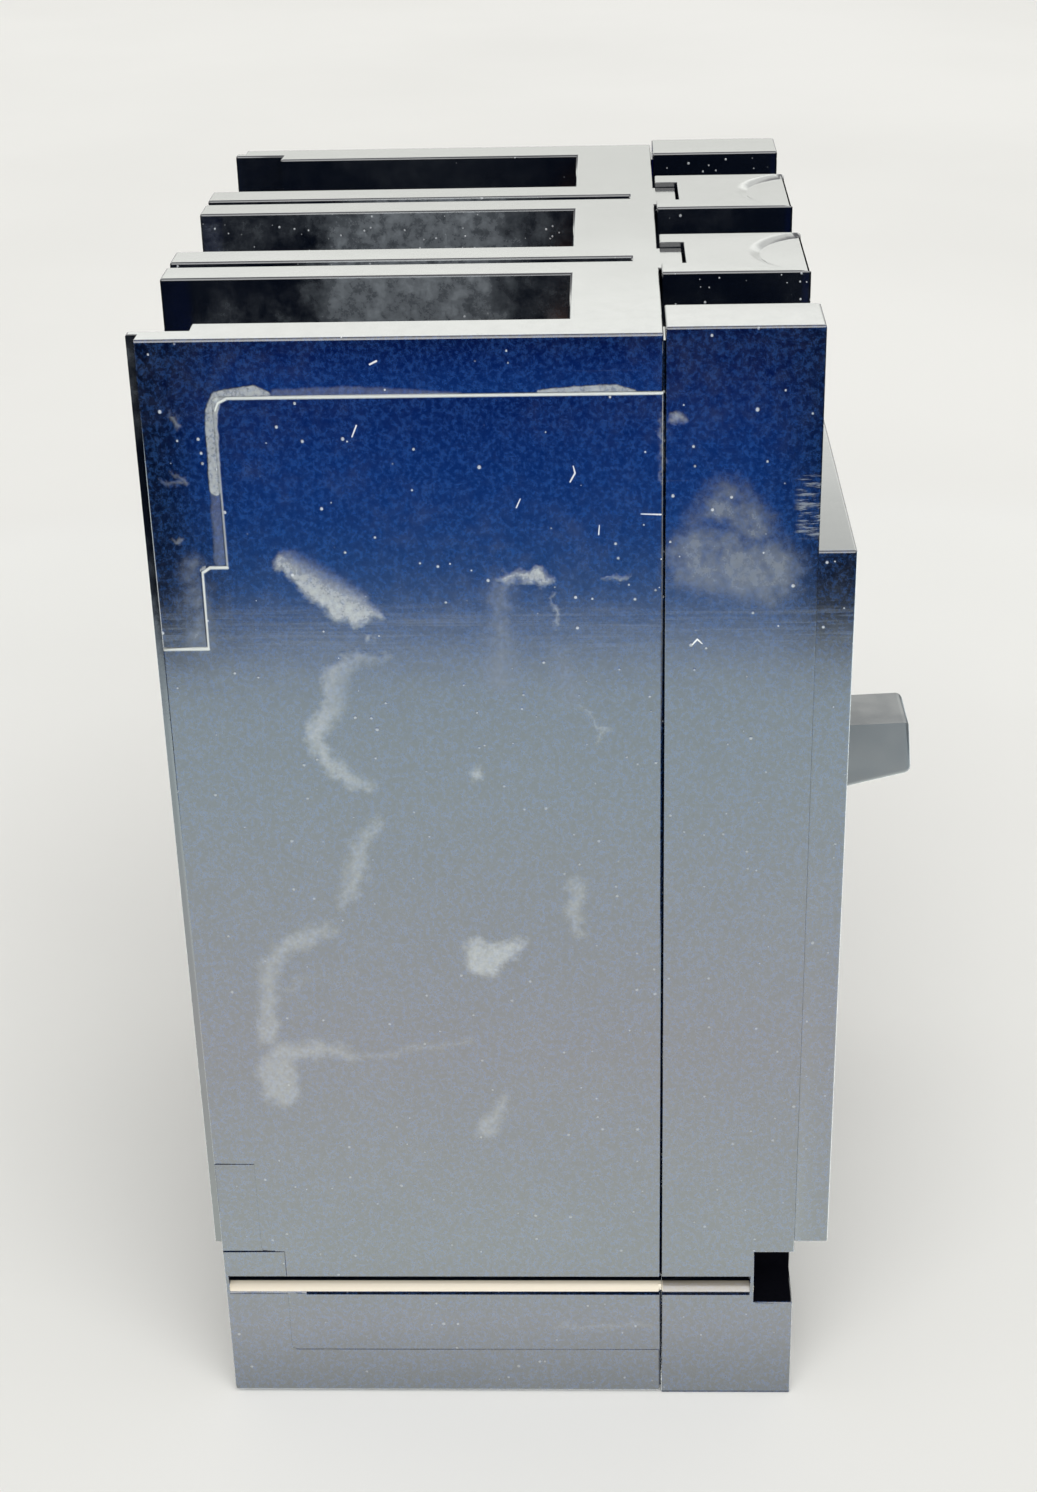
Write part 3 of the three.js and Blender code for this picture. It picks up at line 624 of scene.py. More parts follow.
def stroke_group():
    """A node group: how far a point is outside a tapered stroke, or the distance so far if that is less."""
    group = bpy.data.node_groups.new("stroke", "ShaderNodeTree")
    for name, kind in STROKE_INPUTS.items():
        group.interface.new_socket(name, in_out="INPUT", socket_type="NodeSocket" + kind)
    group.interface.new_socket("Outside", in_out="OUTPUT", socket_type="NodeSocketFloat")
    tree = Tree(group)
    given = group.nodes.new("NodeGroupInput").outputs
    # The tiny term makes the renderer work through the strokes one by one, with a small shader stack.
    point = tree.vector("MULTIPLY_ADD", given[5], (TINY, TINY, TINY), given[0])
    along = tree.vector("SUBTRACT", given[2], given[1])
    offset = tree.vector("SUBTRACT", point, given[1])
    share = tree.math(
        "DIVIDE",
        tree.vector("DOT_PRODUCT", offset, along),
        tree.vector("DOT_PRODUCT", along, along),
        clamp=True,
    )
    nearest = tree.tree.nodes.new("ShaderNodeVectorMath")
    nearest.operation = "SCALE"
    tree.put(nearest.inputs[0], along)
    tree.put(nearest.inputs["Scale"], share)
    distance = tree.vector("DISTANCE", offset, nearest.outputs[0])
    growth = tree.math("SUBTRACT", given[4], given[3])
    radius = tree.math("MULTIPLY_ADD", share, growth, given[3])
    out = group.nodes.new("NodeGroupOutput")
    tree.put(out.inputs[0], tree.math("MINIMUM", given[5], tree.math("SUBTRACT", distance, radius)))
    return group


STROKE = stroke_group()


def outside_strokes(tree, point, strokes):
    """How far the point is outside the nearest of some strokes of (depth, z, radius) points."""
    nearest = 100.0
    for stroke in strokes:
        for (d0, z0, r0), (d1, z1, r1) in zip(stroke, stroke[1:]):
            nearest = tree.group(STROKE, point, (0, d0, z0), (0, d1, z1), r0, r1, nearest)
    return nearest


# ---------------------------------------------------------------- case plastic

# Marks on the left side, each a stroke of (depth, z, radius) in millimetres.
MARKS_SPLIT = 98.1  # height between the two sets of marks
UPPER_MARKS = {
    "bright": [
        [(17.2, 131.4, 1.3), (19.6, 130.8, 2.4), (22.8, 127.8, 2.9), (25.6, 125.6, 2.8), (28.3, 124.4, 1.0)],
        [(27.6, 121.0, 0.5), (27.7, 121.1, 0.5)],
        [(44.8, 129.3, 0.7), (47.2, 129.2, 0.8), (49.3, 129.2, 1.3)],
        [(50.5, 126.8, 0.2), (51.0, 124.6, 0.4), (50.9, 122.8, 0.3)],
        [(57.0, 128.7, 0.2), (59.4, 128.8, 0.4)],
        [(5.4, 150.2, 0.4), (5.8, 149.2, 0.5)],
        [(3.0, 142.2, 0.1), (4.4, 141.8, 0.15), (6.0, 142.3, 0.35), (4.4, 143.2, 0.1)],
        [(3.6, 134.7, 0.15), (4.7, 134.5, 0.35)],
        [(65.4, 149.2, 0.5), (66.5, 149.3, 0.6)],
        [(63.9, 149.4, 0.2), (64.1, 146.4, 0.4), (64.2, 141.0, 0.15)],
    ],
    "mild": [
        [(29.2, 118.6, 0.6), (25.6, 118.2, 1.2), (23.6, 116.2, 2.3), (22.9, 112.4, 1.8), (20.4, 109.0, 1.6)],
        [(20.4, 109.0, 1.6), (19.4, 107.2, 1.2), (21.6, 104.0, 1.2), (24.0, 101.8, 1.5), (26.4, 100.6, 0.9)],
        [(40.1, 102.3, 1.0), (40.3, 102.2, 1.0)],
        [(53.6, 111.4, 0.15), (55.9, 109.4, 0.25), (57.0, 108.1, 0.6), (55.8, 106.7, 0.15)],
    ],
    "rubbed": [
        [(22.5, 136.2, 3.6), (31.5, 130.8, 3.6)],
        [(28.8, 113.0, 3.0), (28.6, 106.0, 3.0)],
    ],
    "residue": [
        [(9.75, 140.9, 0.72), (10.0, 150.6, 0.75), (10.8, 152.6, 0.6), (12.5, 153.0, 0.55)],
        [(12.5, 153.0, 0.55), (15.2, 153.2, 0.75), (17.0, 152.8, 0.3)],
        [(49.4, 152.7, 0.2), (56.6, 152.9, 0.6), (58.6, 152.9, 0.55), (60.8, 152.6, 0.2)],
    ],
    "faint_residue": [
        [(9.6, 131.6, 0.8), (9.75, 140.0, 0.75)],
        [(17.8, 152.9, 0.5), (28.0, 153.0, 0.7), (40.0, 152.6, 0.2)],
    ],
    # The line and dull_line kinds are white along the side panel's groove: partly residue in it and partly a
    # painted highlight on its edge.
    "line": [
        [(JOINT, 152.35, 0.14), (12.0, 152.35, 0.14), (10.9, 151.8, 0.14), (10.45, 150.8, 0.12)],
        [(10.4, 130.75, 0.14), (8.2, 130.75, 0.14), (7.25, 130.1, 0.14), (7.15, 119.9, 0.12)],
        [(7.15, 119.85, 0.16), (0.3, 119.85, 0.16)],
    ],
    "dull_line": [[(10.4, 150.8, 0.14), (10.4, 130.8, 0.14)]],
    "haze": [
        [(6.0, 131.0, 0.0), (6.2, 121.0, 0.8)],
        [(44.0, 127.4, 0.4), (43.9, 115.5, 0.8)],
        [(51.6, 118.0, 0.0), (52.6, 113.0, 0.0)],
        [(68.6, 136.4, 0.0), (71.8, 138.6, 1.8), (75.4, 135.2, 1.4)],
        [(68.6, 131.4, 3.0), (77.0, 129.6, 3.2)],
    ],
    "fibres": [
        [(53.0, 141.4, 0.08), (53.6, 142.5, 0.1), (53.4, 143.4, 0.06)],
        [(46.4, 138.2, 0.08), (46.9, 139.3, 0.06)],
        [(56.4, 134.6, 0.08), (56.5, 135.8, 0.05)],
        [(26.8, 147.4, 0.07), (27.4, 148.8, 0.09)],
        [(29.4, 156.3, 0.1), (30.2, 156.7, 0.12)],
        [(61.6, 137.2, 0.06), (64.0, 137.1, 0.1)],
        [(68.0, 119.9, 0.08), (68.6, 120.6, 0.1), (69.2, 120.0, 0.06)],
    ],
}
LOWER_MARKS = {
    "mild": [[(39.2, 76.2, 1.5), (40.6, 74.0, 2.6), (43.4, 75.6, 1.6), (46.4, 77.6, 0.4)]],
    "faint": [
        [(27.0, 95.2, 0.8), (24.8, 91.5, 1.4), (23.4, 86.0, 1.4), (22.0, 82.8, 0.5)],
        [(19.6, 79.0, 1.0), (14.5, 77.0, 1.5), (11.6, 74.0, 1.2), (10.9, 66.0, 1.2), (10.6, 62.0, 1.4)],
        [(11.2, 57.0, 2.8), (11.8, 53.6, 2.8)],
        [(12.0, 59.4, 1.8), (16.0, 60.2, 1.4), (20.0, 60.2, 1.1), (22.6, 58.9, 0.4)],
        [(53.0, 85.6, 1.0), (52.9, 81.5, 1.2), (53.4, 78.2, 0.6)],
        [(23.6, 59.1, 0.2), (27.3, 59.5, 0.3), (32.5, 60.6, 0.3), (38.4, 61.4, 0.15)],
        [(13.2, 69.6, 0.15), (15.5, 71.1, 0.15), (19.2, 72.1, 0.15), (23.5, 72.4, 0.1)],
        [(42.9, 52.4, 0.6), (40.2, 47.0, 1.6)],
        [(49.4, 12.4, 0.1), (62.8, 12.4, 0.2)],
    ],
    "rubbed": [
        [(48.8, 76.0, -0.6), (48.4, 72.8, -0.6)],
        [(26.0, 64.0, 1.0), (20.0, 70.0, 1.0)],
    ],
}
# How each kind of mark covers the plastic: from how far outside to how far inside it builds up, and how much.
COVERING = {
    "bright": (0.35, -1.2, 0.5),
    "mild": (0.5, -1.3, 0.3),
    "faint": (0.8, -1.6, 0.18),
    "residue": (0.12, -0.12, 0.42),
    "faint_residue": (0.15, -0.3, 0.12),
    "line": (0.1, -0.1, 0.85),
    "dull_line": (0.1, -0.1, 0.4),
    "haze": (3.0, -2.0, 1.0),
    "fibres": (0.03, -0.03, 1.0),
}
SHAKE = {"bright": 3.6, "mild": 3.6, "faint": 3.8, "haze": 3.4, "residue": 0.5, "faint_residue": 0.5}


class LeftMarks:
    """The dried chalk, the haze and the fibres of one set of marks, and the white along the side panel's
    groove, which is partly residue and partly a painted highlight.
    """

    def __init__(self, tree, point, marks):
        self.tree, self.point, self.marks = tree, point, marks
        self.flat = tree.vector("MULTIPLY", point, (0, 1, 1))
        self.ragged = tree.vector("SUBTRACT", tree.noise(point, 0.5, 5, 0.6, color=True), (0.5, 0.5, 0.5))

    def cover(self, kind):
        if kind not in self.marks:
            return 0.0
        place = self.flat
        if kind in SHAKE:
            place = self.tree.vector("MULTIPLY_ADD", self.ragged, (0, SHAKE[kind], SHAKE[kind]), self.flat)
        outer, inner, most = COVERING[kind]
        outside = outside_strokes(self.tree, place, self.marks[kind])
        return self.tree.between(outside, outer, inner, 0, most)

    def chalk_and_highlight(self):
        tree = self.tree
        kept = tree.between(outside_strokes(tree, self.flat, self.marks["rubbed"]), 0.2, 5.0)
        dry = tree.times(tree.most(*map(self.cover, ("bright", "mild", "faint"))), kept)
        dry = tree.most(dry, self.cover("residue"), self.cover("faint_residue"))
        crumbs = tree.between(tree.noise(self.point, 1.7, 4, 0.7, 7), 0.25, 0.72, 0.62, 1.15)
        # The groove's lines add a painted highlight to the chalk.
        return tree.most(tree.times(dry, crumbs), self.cover("line"), self.cover("dull_line"))


def specks(tree, point, scale, size, share, shift):
    """Round dust specks: one to a cell, in a share of the cells."""
    moved = tree.vector("ADD", point, (shift, shift, shift))
    distance, color = tree.cells(moved, scale)
    kept = tree.parts(color)
    chosen = tree.math("LESS_THAN", kept[0], share)
    radius = tree.math("MULTIPLY_ADD", kept[1], size, size * 0.4)
    return tree.times(tree.between(tree.math("DIVIDE", distance, radius), 1.0, 0.5), chosen)


def stretched_scratches(tree, point, along, across, shift, low, high):
    """Fine brushed lines along one direction; the numbers are lines per millimetre."""
    lines = tree.noise(tree.vector("MULTIPLY", point, (along, along, across)), 1.0, 4, 0.7, shift)
    patches = tree.between(tree.noise(point, 0.06, 3, 0.6, shift + 3), 0.46, 0.66)
    return tree.times(tree.between(lines, low, high), patches)


BLUE_DARK = (0.0005, 0.002, 0.01)
BLUE_LIGHT = (0.009, 0.032, 0.1)
# Painted shade: a darker tone for the inner walls than for the sides.
INNER_PAINTED_SHADE = (0.002, 0.0035, 0.008)
# Painted shade: near-black colours that stand in for the shadow inside the foot's deep notches.
PAINTED_NOTCH_SHADE_DEEP = (0.0008, 0.001, 0.002)
PAINTED_NOTCH_SHADE_PALE = (0.003, 0.003, 0.005)
DUST_FILM = (0.15, 0.17, 0.19)
SPECK = (0.6, 0.63, 0.66)
FIBRE = (0.75, 0.75, 0.7)
# Colour of the dried chalk, also used as a painted highlight along the side panel's groove.
CHALK_AND_HIGHLIGHT_COLOR = (0.62, 0.65, 0.62)
# Painted highlight: a warm light colour that stands in for the light caught by the side grooves' sloped
# ledge.
LEDGE_HIGHLIGHT_COLOR = (0.74, 0.66, 0.52)
PAINT = (0.78, 0.78, 0.76)
GLOSS = 0.09
CASE_IOR = 1.85
LEDGE_Z = (18.55, 19.62)
NOTCH = {"x": (44.0, HALF - 0.35), "depth": 77.85, "z": (16.65, 25.65)}  # the foot's deep notches
LEFT_SKIN = 0.9 - HALF  # the left side's surface lies below this x
SIDE_SKIN = HALF - 0.4
MARK_HALF = 3.4  # the I and O marks are no further than this from the middle
MARK_DEPTH = FRONT - 0.3


def painted_ledge_highlight(tree, x, depth, z):
    """Painted highlight: a warm light colour on the sloped ledge of the side grooves, standing in for the
    light it catches, weaker on the cover.
    """
    away = tree.math("ABSOLUTE", x)
    inset = tree.times(tree.between(away, 52.44, 52.38), tree.between(away, 51.0, 51.2))
    share = tree.between(depth, JOINT + 0.2, JOINT + 0.4, 0.85, 0.35)
    return tree.times(inset, tree.within(z, *LEDGE_Z), share)


def painted_marks(tree, x, depth):
    """White paint on the floors of the I and O marks."""
    near_middle = tree.math("LESS_THAN", tree.math("ABSOLUTE", x), MARK_HALF)
    return tree.times(near_middle, tree.math("COMPARE", depth, MARK_DEPTH, 0.06))


def scuffs(tree, point, depth, z):
    """Short level scuffs on the cover's front edge."""
    lines = tree.noise(tree.vector("MULTIPLY", point, (0.3, 0.3, 2.4)), 1.0, 4, 0.7, 12)
    band = tree.times(tree.between(z, 133.5, 134.5), tree.between(z, 142.4, 141.2))
    return tree.times(tree.between(depth, 80.0, 81.2), band, tree.between(lines, 0.48, 0.62, 0, 0.7))


class CasePlastic:
    """Glossy blue-black moulded plastic with a film of dust, specks, brushed scratches and dried chalk, and a
    painted highlight along the left side panel's groove.
    """

    def __init__(self, tree):
        self.tree = tree
        self.point = point = place_in_case(tree)
        self.x, self.depth, self.z = tree.parts(point)
        self.mottle = tree.noise(point, 0.45, 8, 0.72, 5)
        self.grain = tree.noise(point, 1.5, 4, 0.85, 9)
        self.clouds = tree.between(tree.noise(point, 0.05, 6, 0.62, 11), 0.42, 0.68)
        self.dust = self.specks_of_dust()

    def specks_of_dust(self):
        tree, point = self.tree, self.point
        coarse = specks(tree, point, 0.42, 0.09, 0.5, 3)
        small = specks(tree, point, 0.9, 0.13, 0.4, 21)
        large = specks(tree, point, 0.17, 0.045, 0.5, 8)
        share = tree.between(self.z, 96, 132, 0.22, 0.7)
        return tree.times(tree.most(coarse, small, large), share)

    def pocket_clouds(self, kept):
        """Patches of dust part of the way along the pockets' walls, with ragged ends."""
        tree = self.tree
        warp = tree.noise(self.point, 0.11, 4, 0.6, 19)
        place = tree.math("MULTIPLY_ADD", warp, 26.0, tree.math("SUBTRACT", self.depth, 13.0))
        window = tree.times(tree.between(place, 15, 23), tree.between(place, 50, 38))
        return tree.times(window, kept, tree.between(self.mottle, 0.15, 0.85, 0.1, 1.1))

    def inside(self):
        """The walls that aren't the case's sides: painted darker than the sides as painted shade, with clouds
        of dust where they are steep.
        """
        tree = self.tree
        level = tree.math("ABSOLUTE", tree.parts(tree.node("ShaderNodeNewGeometry", out=1))[2])
        steep = tree.between(level, 0.7, 0.4)
        kept = tree.between(self.x, 30, 20, 0.06, 1.0)
        film = tree.times(self.clouds, tree.between(self.mottle, 0.3, 0.75, 0.05, 0.4), kept)
        film = tree.times(tree.most(film, self.pocket_clouds(kept)), steep)
        film = tree.times(film, tree.between(self.depth, JOINT - 4, JOINT, 1.0, 0.2))
        return self.shade((*INNER_PAINTED_SHADE, 1), film, tree.times(self.dust, steep))

    def outside(self, marks=None):
        """A side of the case, with one set of marks if it has any."""
        tree, point = self.tree, self.point
        tone = tree.mix(tree.between(self.grain, 0.42, 0.64), (*BLUE_DARK, 1), (*BLUE_LIGHT, 1))
        film = tree.times(self.clouds, tree.between(self.mottle, 0.3, 0.75, 0, 0.08))
        scratches = stretched_scratches(tree, point, 0.05, 3.4, 17, 0.6, 0.74)
        film = tree.most(film, tree.times(scratches, 0.12))
        if marks is None:
            return self.shade(tone, film, self.dust)
        left = LeftMarks(tree, point, marks)
        fibres = None
        if marks is UPPER_MARKS:
            haze = tree.times(left.cover("haze"), tree.between(self.mottle, 0.2, 0.8, 0.15, 0.75))
            film = tree.most(film, haze, scuffs(tree, point, self.depth, self.z), self.brushed())
            fibres = left.cover("fibres")
        return self.shade(tone, film, self.dust, left.chalk_and_highlight(), fibres)

    def brushed(self):
        """Level brush lines across the side, in a band."""
        tree, point = self.tree, self.point
        band = tree.times(tree.between(self.z, 117.5, 121), tree.between(self.z, 127, 123))
        warp = tree.noise(point, 0.06, 2, 0.5, 14, color=True)
        lines = tree.noise(tree.vector("MULTIPLY_ADD", point, (0.04, 0.04, 2.4), warp), 1, 5, 0.7, 2)
        return tree.times(band, tree.between(lines, 0.4, 0.68, 0, 0.22))

    def shade(self, tone, film, dust, chalk_and_highlight=None, fibres=None):
        tree = self.tree
        # The grooves' ledge gets a painted highlight.
        ledge = painted_ledge_highlight(tree, self.x, self.depth, self.z)
        painted = painted_marks(tree, self.x, self.depth)
        coats = [(film, DUST_FILM), (chalk_and_highlight, CHALK_AND_HIGHLIGHT_COLOR), (dust, SPECK), (fibres, FIBRE)]
        coats += [(ledge, LEDGE_HIGHLIGHT_COLOR), (painted, PAINT)]
        color = tone
        for amount, coat in coats:
            if amount is not None:
                color = tree.mix(amount, color, (*coat, 1))
        covered = tree.most(ledge, painted) if chalk_and_highlight is None else tree.most(ledge, painted, chalk_and_highlight)
        raised = dust if chalk_and_highlight is None else tree.most(chalk_and_highlight, dust)
        return surface(tree, color, self.roughness(film, covered), self.relief(raised), IOR=CASE_IOR)

    def roughness(self, film, covered):
        tree = self.tree
        rough = tree.math("MULTIPLY_ADD", film, 0.35, GLOSS)
        rough = tree.math("ADD", rough, tree.between(self.mottle, 0.35, 0.7, 0, 0.03))
        return tree.most(rough, tree.times(covered, 0.8))

    def relief(self, raised):
        """The normal: slow waves in the moulding, a fine texture, and what lies on it."""
        tree = self.tree
        waves = bump(tree, tree.noise(self.point, 0.05, 2, 0.5, 41), 0.00012, 0.25)
        fine = tree.math("MULTIPLY_ADD", self.grain, 0.5, self.mottle)
        return bump(tree, raised, 0.00006, 0.5, bump(tree, fine, 0.00001, 0.5, waves))


def painted_notch_shade(tree):
    """Painted shade: the deep notches at the foot are painted near black, with almost no reflection, in place
    of the shadow inside them.
    """
    point = place_in_case(tree)
    color = tree.mix(tree.noise(point, 1.5), (*PAINTED_NOTCH_SHADE_DEEP, 1), (*PAINTED_NOTCH_SHADE_PALE, 1))
    return surface(tree, color, 0.9, IOR=1.08)


def in_notch(tree, away, depth, z):
    deep = tree.math("GREATER_THAN", depth, NOTCH["depth"])
    return tree.times(deep, tree.within(z, *NOTCH["z"]), tree.within(away, *NOTCH["x"]))


def case_plastic():
    """Each region has its own shader, so the many marks are worked out only where they are."""
    material, tree = new_material("case_plastic")
    plastic = CasePlastic(tree)
    away = tree.math("ABSOLUTE", plastic.x)
    upper = tree.math("GREATER_THAN", plastic.z, MARKS_SPLIT)
    on_left = tree.math("LESS_THAN", plastic.x, LEFT_SKIN)
    on_side = tree.math("GREATER_THAN", away, SIDE_SKIN)
    notch = in_notch(tree, away, plastic.depth, plastic.z)

    def choose(test, no, yes):
        return tree.node("ShaderNodeMixShader", test, no, yes)

    left = choose(upper, plastic.outside(LOWER_MARKS), plastic.outside(UPPER_MARKS))
    others = choose(on_side, plastic.inside(), plastic.outside())
    # The foot's deep notches take a painted shade instead of the plastic.
    show(tree, choose(notch, choose(on_left, others, left), painted_notch_shade(tree)))
    return material


# ---------------------------------------------------------------- other materials


def small_plastic(name, color, gloss, bright=1.35, ior=1.6):
    material, tree = new_material(name)
    point = place_in_case(tree)
    patches = tree.between(tree.noise(point, 0.18, 5, 0.6, 4), 0.35, 0.7)
    grain = tree.noise(point, 4.0, 3, 0.7)
    dust = specks(tree, point, 0.6, 0.05, 0.5, 2)
    tone = tree.mix(patches, (*color, 1), (*[c * bright for c in color], 1))
    tone = tree.mix(tree.times(dust, 0.35), tone, (0.5, 0.52, 0.54, 1))
    rough = tree.math("MULTIPLY_ADD", patches, 0.12, gloss)
    normal = bump(tree, tree.math("ADD", grain, dust), 0.00002, 0.5)
    finish_material(tree, tone, rough, normal, IOR=ior)
    return material


def metal(name, color, tarnish, roughness, brushed=(1, 1, 1), scale=1.2):
    """Metal with brushed lines and patches of tarnish."""
    material, tree = new_material(name)
    point = place_in_case(tree)
    patches = tree.between(tree.noise(point, 0.22, 6, 0.65, 6), 0.38, 0.72)
    lines = tree.noise(tree.vector("MULTIPLY", point, brushed), scale, 5, 0.7)
    pits = specks(tree, point, 0.9, 0.07, 0.3, 5)
    tone = tree.mix(patches, (*color, 1), (*tarnish, 1))
    tone = tree.mix(tree.times(pits, 0.6), tone, (*[c * 0.4 for c in tarnish], 1))
    rough = tree.math("MULTIPLY_ADD", patches, 0.18, roughness)
    rough = tree.math("ADD", rough, tree.times(lines, 0.12))
    normal = bump(tree, tree.math("SUBTRACT", lines, pits), 0.00002, 0.6)
    finish_material(tree, tone, rough, normal, Metallic=1.0)
    return material


FIBRE_BOARD_STOPS = [(0.3, (0.10, 0.045, 0.02)), (0.55, (0.20, 0.10, 0.05)), (0.75, (0.34, 0.2, 0.11))]


def fibre_board(name):
    """Moulded insulating material with short fibres in it."""
    material, tree = new_material(name)
    point = place_in_case(tree)
    weave = tree.noise(tree.vector("MULTIPLY", point, (0.4, 2.2, 2.2)), 1.0, 6, 0.7, 3)
    tone = tree.ramp(weave, FIBRE_BOARD_STOPS)
    normal = bump(tree, weave, 0.00005, 0.5)
    finish_material(tree, tone, tree.math("MULTIPLY_ADD", weave, 0.3, 0.45), normal, IOR=1.5)
    return material


materials = {
    "case": case_plastic(),
    "handle": small_plastic("handle_plastic", (0.02, 0.028, 0.036), 0.3, ior=1.8),
    "button": small_plastic("button_plastic", (0.32, 0.02, 0.015), 0.3),
    "fibre": fibre_board("fibre_board"),
    "copper": metal("copper", (0.62, 0.3, 0.18), (0.28, 0.12, 0.07), 0.3, (1, 0.2, 3)),
    "bimetal": metal("bimetal", (0.42, 0.39, 0.33), (0.25, 0.2, 0.14), 0.3, (3, 3, 0.2)),
    "zinc_steel": metal("zinc_steel", (0.42, 0.42, 0.4), (0.24, 0.23, 0.2), 0.32, (1, 0.3, 3)),
    "spring_steel": metal("spring_steel", (0.3, 0.3, 0.31), (0.14, 0.12, 0.1), 0.28, (2, 2, 2)),
    "aluminium": metal("aluminium", (0.6, 0.61, 0.62), (0.4, 0.4, 0.39), 0.35, (1, 0.4, 2)),
}
SLOT_OF = {
    "handle": "handle",
    "trip_button": "button",
    "crossbar": "fibre",
    "trip_bar": "fibre",
    "contact_arm": "copper",
    "line_terminal": "copper",
    "shunt": "copper",
    "load_terminal": "copper",
    "bimetal": "bimetal",
    "load_lug": "aluminium",
    "main_spring": "spring_steel",
    "trip_button_spring": "spring_steel",
}
STEEL = "zinc_steel"


def slot_of(node):
    names = [key for key in SLOT_OF if node == key or node.startswith(key + "_")]
    if "load_lug_screw" in node:
        return STEEL
    return SLOT_OF[max(names, key=len)] if names else STEEL


def body_of(node):
    bodies = frame["record"]["behaviour"]["bodies"]
    return next(body for body, nodes in bodies.items() if node in nodes)


def put_material(piece, material):
    piece.data.materials.clear()
    piece.data.materials.append(material)


def stand_for(piece, node, slot):
    put_material(piece, materials[slot])
    smooth(piece)
    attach(piece, body_of(node))
    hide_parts(node)


stand_for(make_base(), "base", "case")
stand_for(make_cover(), "cover", "case")
stand_for(make_handle(), "handle", "handle")
for i, (x, z) in enumerate(COVER_SCREWS, 1):
    stand_for(make_screw(f"cover_screw_{i}_turned", x, z, COVER_SCREW), f"cover_screw_{i}", STEEL)
for i, x in enumerate(POLES, 1):
    line_screw = make_screw(f"line_screw_{i}_turned", x, LINE_SCREW_Z, LINE_SCREW)
    stand_for(line_screw, f"line_screw_{i}", STEEL)
    stand_for(make_lug_screw(f"load_lug_screw_{i}_turned", x), f"load_lug_screw_{i}", STEEL)

button_spring = make_button_spring()
stand_for(button_spring, "trip_button_spring", "spring_steel")
shorten_with_button(button_spring)

ROUND_WIRE = ("main_spring", "shunt")
PART_ROUND = 0.15
for node, piece in frame["nodes"].items():
    if piece.hide_render:
        continue
    put_material(piece, materials[slot_of(node)])
    if node.startswith(ROUND_WIRE):
        round_wire(piece)
    else:
        bevel = piece.modifiers.new("edges", "BEVEL")
        bevel.width = PART_ROUND * MM
        bevel.segments = 2
        bevel.limit_method = "ANGLE"
        bevel.angle_limit = math.radians(EDGE_ANGLE)

# ---------------------------------------------------------------- floor and light

FLOOR_SIZE = 8.0
FLOOR_DARK = (0.81, 0.805, 0.775)
FLOOR_LIGHT = (0.85, 0.845, 0.815)
CARD_LIFT = 0.0004
CASE_HALF_X = HALF * MM
CASE_Y = (at(0, FRONT, 0).y, at(0, 0, 0).y)


def make_floor():
    bm = bmesh.new()
    bmesh.ops.create_grid(bm, x_segments=1, y_segments=1, size=FLOOR_SIZE / 2)
    floor = from_bmesh("floor", bm)
    material, tree = new_material("floor_paper")
    point = tree.node("ShaderNodeTexCoord", out=3)
    shade = tree.noise(point, 3.0, 4, 0.5)
    color = tree.mix(tree.between(shade, 0.3, 0.7), (*FLOOR_DARK, 1), (*FLOOR_LIGHT, 1))
    finish_material(tree, color, 0.9, IOR=1.1)
    put_material(floor, material)
    floor.visible_glossy = False


# What the glossy case sees in the table: light, by distance from its foot in metres, then dark beyond.
CARD_STOPS = [
    (0.0, (2.1, 2.2, 2.1)),
    (0.015, (2.95, 3.05, 3.0)),
    (0.033, (3.1, 3.35, 3.2)),
    (0.094, (3.1, 3.15, 3.1)),
    (0.20, (2.65, 3.05, 3.1)),
    (0.262, (2.4, 2.85, 3.0)),
    (0.279, (1.9, 2.25, 2.75)),
    (0.290, (1.2, 1.7, 2.5)),
    (0.302, (0.5, 0.95, 1.95)),
    (0.32, (0.12, 0.5, 1.6)),
    (0.38, (0.02, 0.26, 1.45)),
    (0.44, (0.01, 0.2, 1.3)),
    (0.50, (0.0, 0.06, 0.75)),
    (0.56, (0.0, 0.02, 0.3)),
    (0.60, (0.0, 0.0, 0.1)),
]
CARD_REACH = 0.62
CARD_PEAK = 4.0
# The far, blue part is a wedge that narrows towards a point: (x, y) there, and its edges' slopes, out to in.
CARD_POINT = (0.2292, -0.00685)
CARD_EDGES = (0.188, 0.168), (-0.094, -0.078)
CARD_NEAR = (0.30, 0.27)  # nearer than this the light goes all round


def away_from_case(tree, x, y):
    """How far a point on the table is from the case's foot, in metres."""
    middle = sum(CASE_Y) / 2
    past_x = tree.math("SUBTRACT", tree.math("ABSOLUTE", x), CASE_HALF_X)
    off_y = tree.math("ABSOLUTE", tree.math("SUBTRACT", y, middle))
    past_y = tree.math("SUBTRACT", off_y, CASE_Y[1] - middle)
    past_x, past_y = tree.most(past_x, 0.0), tree.most(past_y, 0.0)
    return tree.math("SQRT", tree.math("ADD", tree.times(past_x, past_x), tree.times(past_y, past_y)))


def in_card_wedge(tree, x, y):
    across = tree.math("SUBTRACT", y, CARD_POINT[1])
    slope = tree.math("DIVIDE", across, tree.math("SUBTRACT", CARD_POINT[0], x))
    return tree.times(*(tree.between(slope, *edge) for edge in CARD_EDGES))


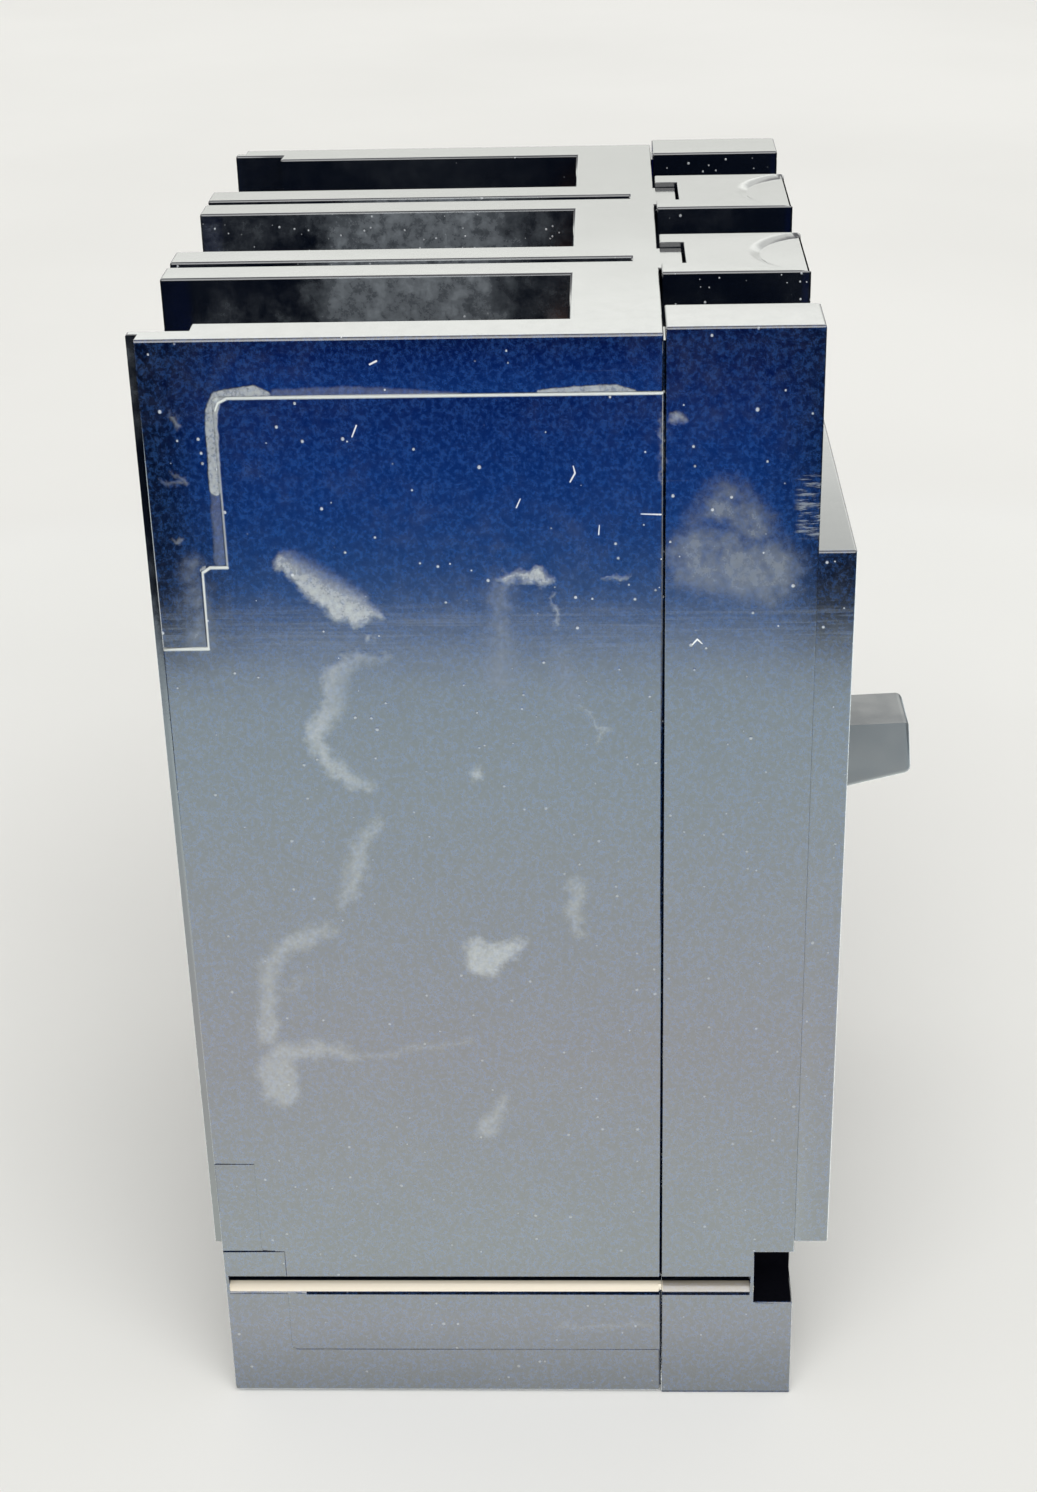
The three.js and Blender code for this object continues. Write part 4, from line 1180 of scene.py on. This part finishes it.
def make_card():
    """A soft light low over the table, which only reflections show."""
    bm = bmesh.new()
    bmesh.ops.create_grid(bm, x_segments=1, y_segments=1, size=FLOOR_SIZE / 2)
    card = from_bmesh("table_light", bm)
    card.location.z = CARD_LIFT
    material, tree = new_material("table_light")
    x, y, _ = tree.parts(tree.node("ShaderNodeTexCoord", out=3))
    away = away_from_case(tree, x, y)
    stops = [(place / CARD_REACH, [c / CARD_PEAK for c in color]) for place, color in CARD_STOPS]
    color = tree.ramp(tree.math("DIVIDE", away, CARD_REACH), stops)
    lit = tree.most(in_card_wedge(tree, x, y), tree.between(away, *CARD_NEAR))
    show(tree, tree.node("ShaderNodeEmission", color, tree.times(lit, CARD_PEAK)))
    put_material(card, material)
    card.visible_camera = False
    card.visible_diffuse = False
    card.visible_shadow = False
    card.visible_transmission = False


WHITE = (1.0, 0.995, 0.98, 1)
SKY = 0.5  # how strongly the studio lights what isn't glossy
WALL = 2.4  # and how bright it is in reflections
# The studio in reflections: light, by height from straight down to straight up.
WALL_STOPS = [
    (0.47, (0.25, 0.28, 0.34)),
    (0.53, (0.62, 0.63, 0.60)),
    (0.604, (0.70, 0.71, 0.67)),
    (0.618, (0.78, 0.79, 0.75)),
    (0.632, (1.25, 1.27, 1.21)),
    (0.642, (1.36, 1.38, 1.32)),
    (0.66, (1.00, 1.02, 0.98)),
    (0.68, (0.80, 0.82, 0.79)),
    (0.727, (1.06, 1.07, 1.03)),
    (0.80, (0.5, 0.5, 0.5)),
    (1.0, (0.35, 0.36, 0.37)),
]


def make_world():
    """A plain white studio to look at, a dimmer one for soft light, and a banded one for reflections."""
    world = bpy.data.worlds.new("studio")
    world.use_nodes = True
    bpy.context.scene.world = world
    tree = Tree(world.node_tree)
    up = tree.parts(tree.node("ShaderNodeTexCoord", out=0))[2]
    wall = tree.ramp(tree.math("MULTIPLY_ADD", up, 0.5, 0.5), WALL_STOPS)
    seen = tree.node("ShaderNodeBackground", WHITE, 1.0)
    lighting = tree.node("ShaderNodeBackground", WHITE, SKY)
    mirrored = tree.node("ShaderNodeBackground", wall, WALL)
    from_camera = tree.node("ShaderNodeLightPath", out=0)
    glossy = tree.node("ShaderNodeLightPath", out=3)
    both = tree.node("ShaderNodeMixShader", from_camera, lighting, seen)
    out = tree.tree.nodes.new("ShaderNodeOutputWorld")
    tree.put(out.inputs[0], tree.node("ShaderNodeMixShader", glossy, both, mirrored))


SUN_FROM = (-0.7, -0.1, 0.7)
SUN_ENERGY = 2.35
SUN_ANGLE = 70  # degrees


def make_sun():
    """A broad soft light from the camera's side, which keeps the shadows on the table pale."""
    data = bpy.data.lights.new("soft_key", "SUN")
    data.energy = SUN_ENERGY
    data.angle = math.radians(SUN_ANGLE)
    data.specular_factor = 0.0
    sun = bpy.data.objects.new("soft_key", data)
    bpy.context.scene.collection.objects.link(sun)
    sun.rotation_euler = Vector(SUN_FROM).to_track_quat("Z", "Y").to_euler()


# ---------------------------------------------------------------- camera

CAMERA_PLACE = (-0.3342, -0.00685, 0.24013)
CAMERA_YAW = -0.041
CAMERA_PITCH = 0.482
CAMERA_ROLL = -0.025
LENS = 58.8
CAMERA_SHIFT = (-0.0049, 0.0621)


def camera_turn():
    """The camera looks along +X, turned by its yaw, down by its pitch, and rolled."""
    yaw_x, yaw_y = math.cos(CAMERA_YAW), -math.sin(CAMERA_YAW)
    flat, down = math.cos(CAMERA_PITCH), -math.sin(CAMERA_PITCH)
    forward = Vector((yaw_x * flat, yaw_y * flat, down))
    level = Vector((yaw_y, -yaw_x, 0))
    upright = level.cross(forward)
    right = math.cos(CAMERA_ROLL) * level + math.sin(CAMERA_ROLL) * upright
    up = math.cos(CAMERA_ROLL) * upright - math.sin(CAMERA_ROLL) * level
    return Matrix((right, up, -forward)).transposed().to_4x4()


def make_camera():
    data = bpy.data.cameras.new("camera")
    data.lens = LENS
    data.sensor_width = 36
    data.shift_x, data.shift_y = CAMERA_SHIFT
    data.clip_start = 0.01
    data.clip_end = 50
    camera = bpy.data.objects.new("camera", data)
    bpy.context.scene.collection.objects.link(camera)
    camera.matrix_world = Matrix.Translation(CAMERA_PLACE) @ camera_turn()
    bpy.context.scene.camera = camera


make_floor()
make_card()
make_world()
make_sun()
make_camera()
bpy.context.scene.view_settings.view_transform = "Standard"
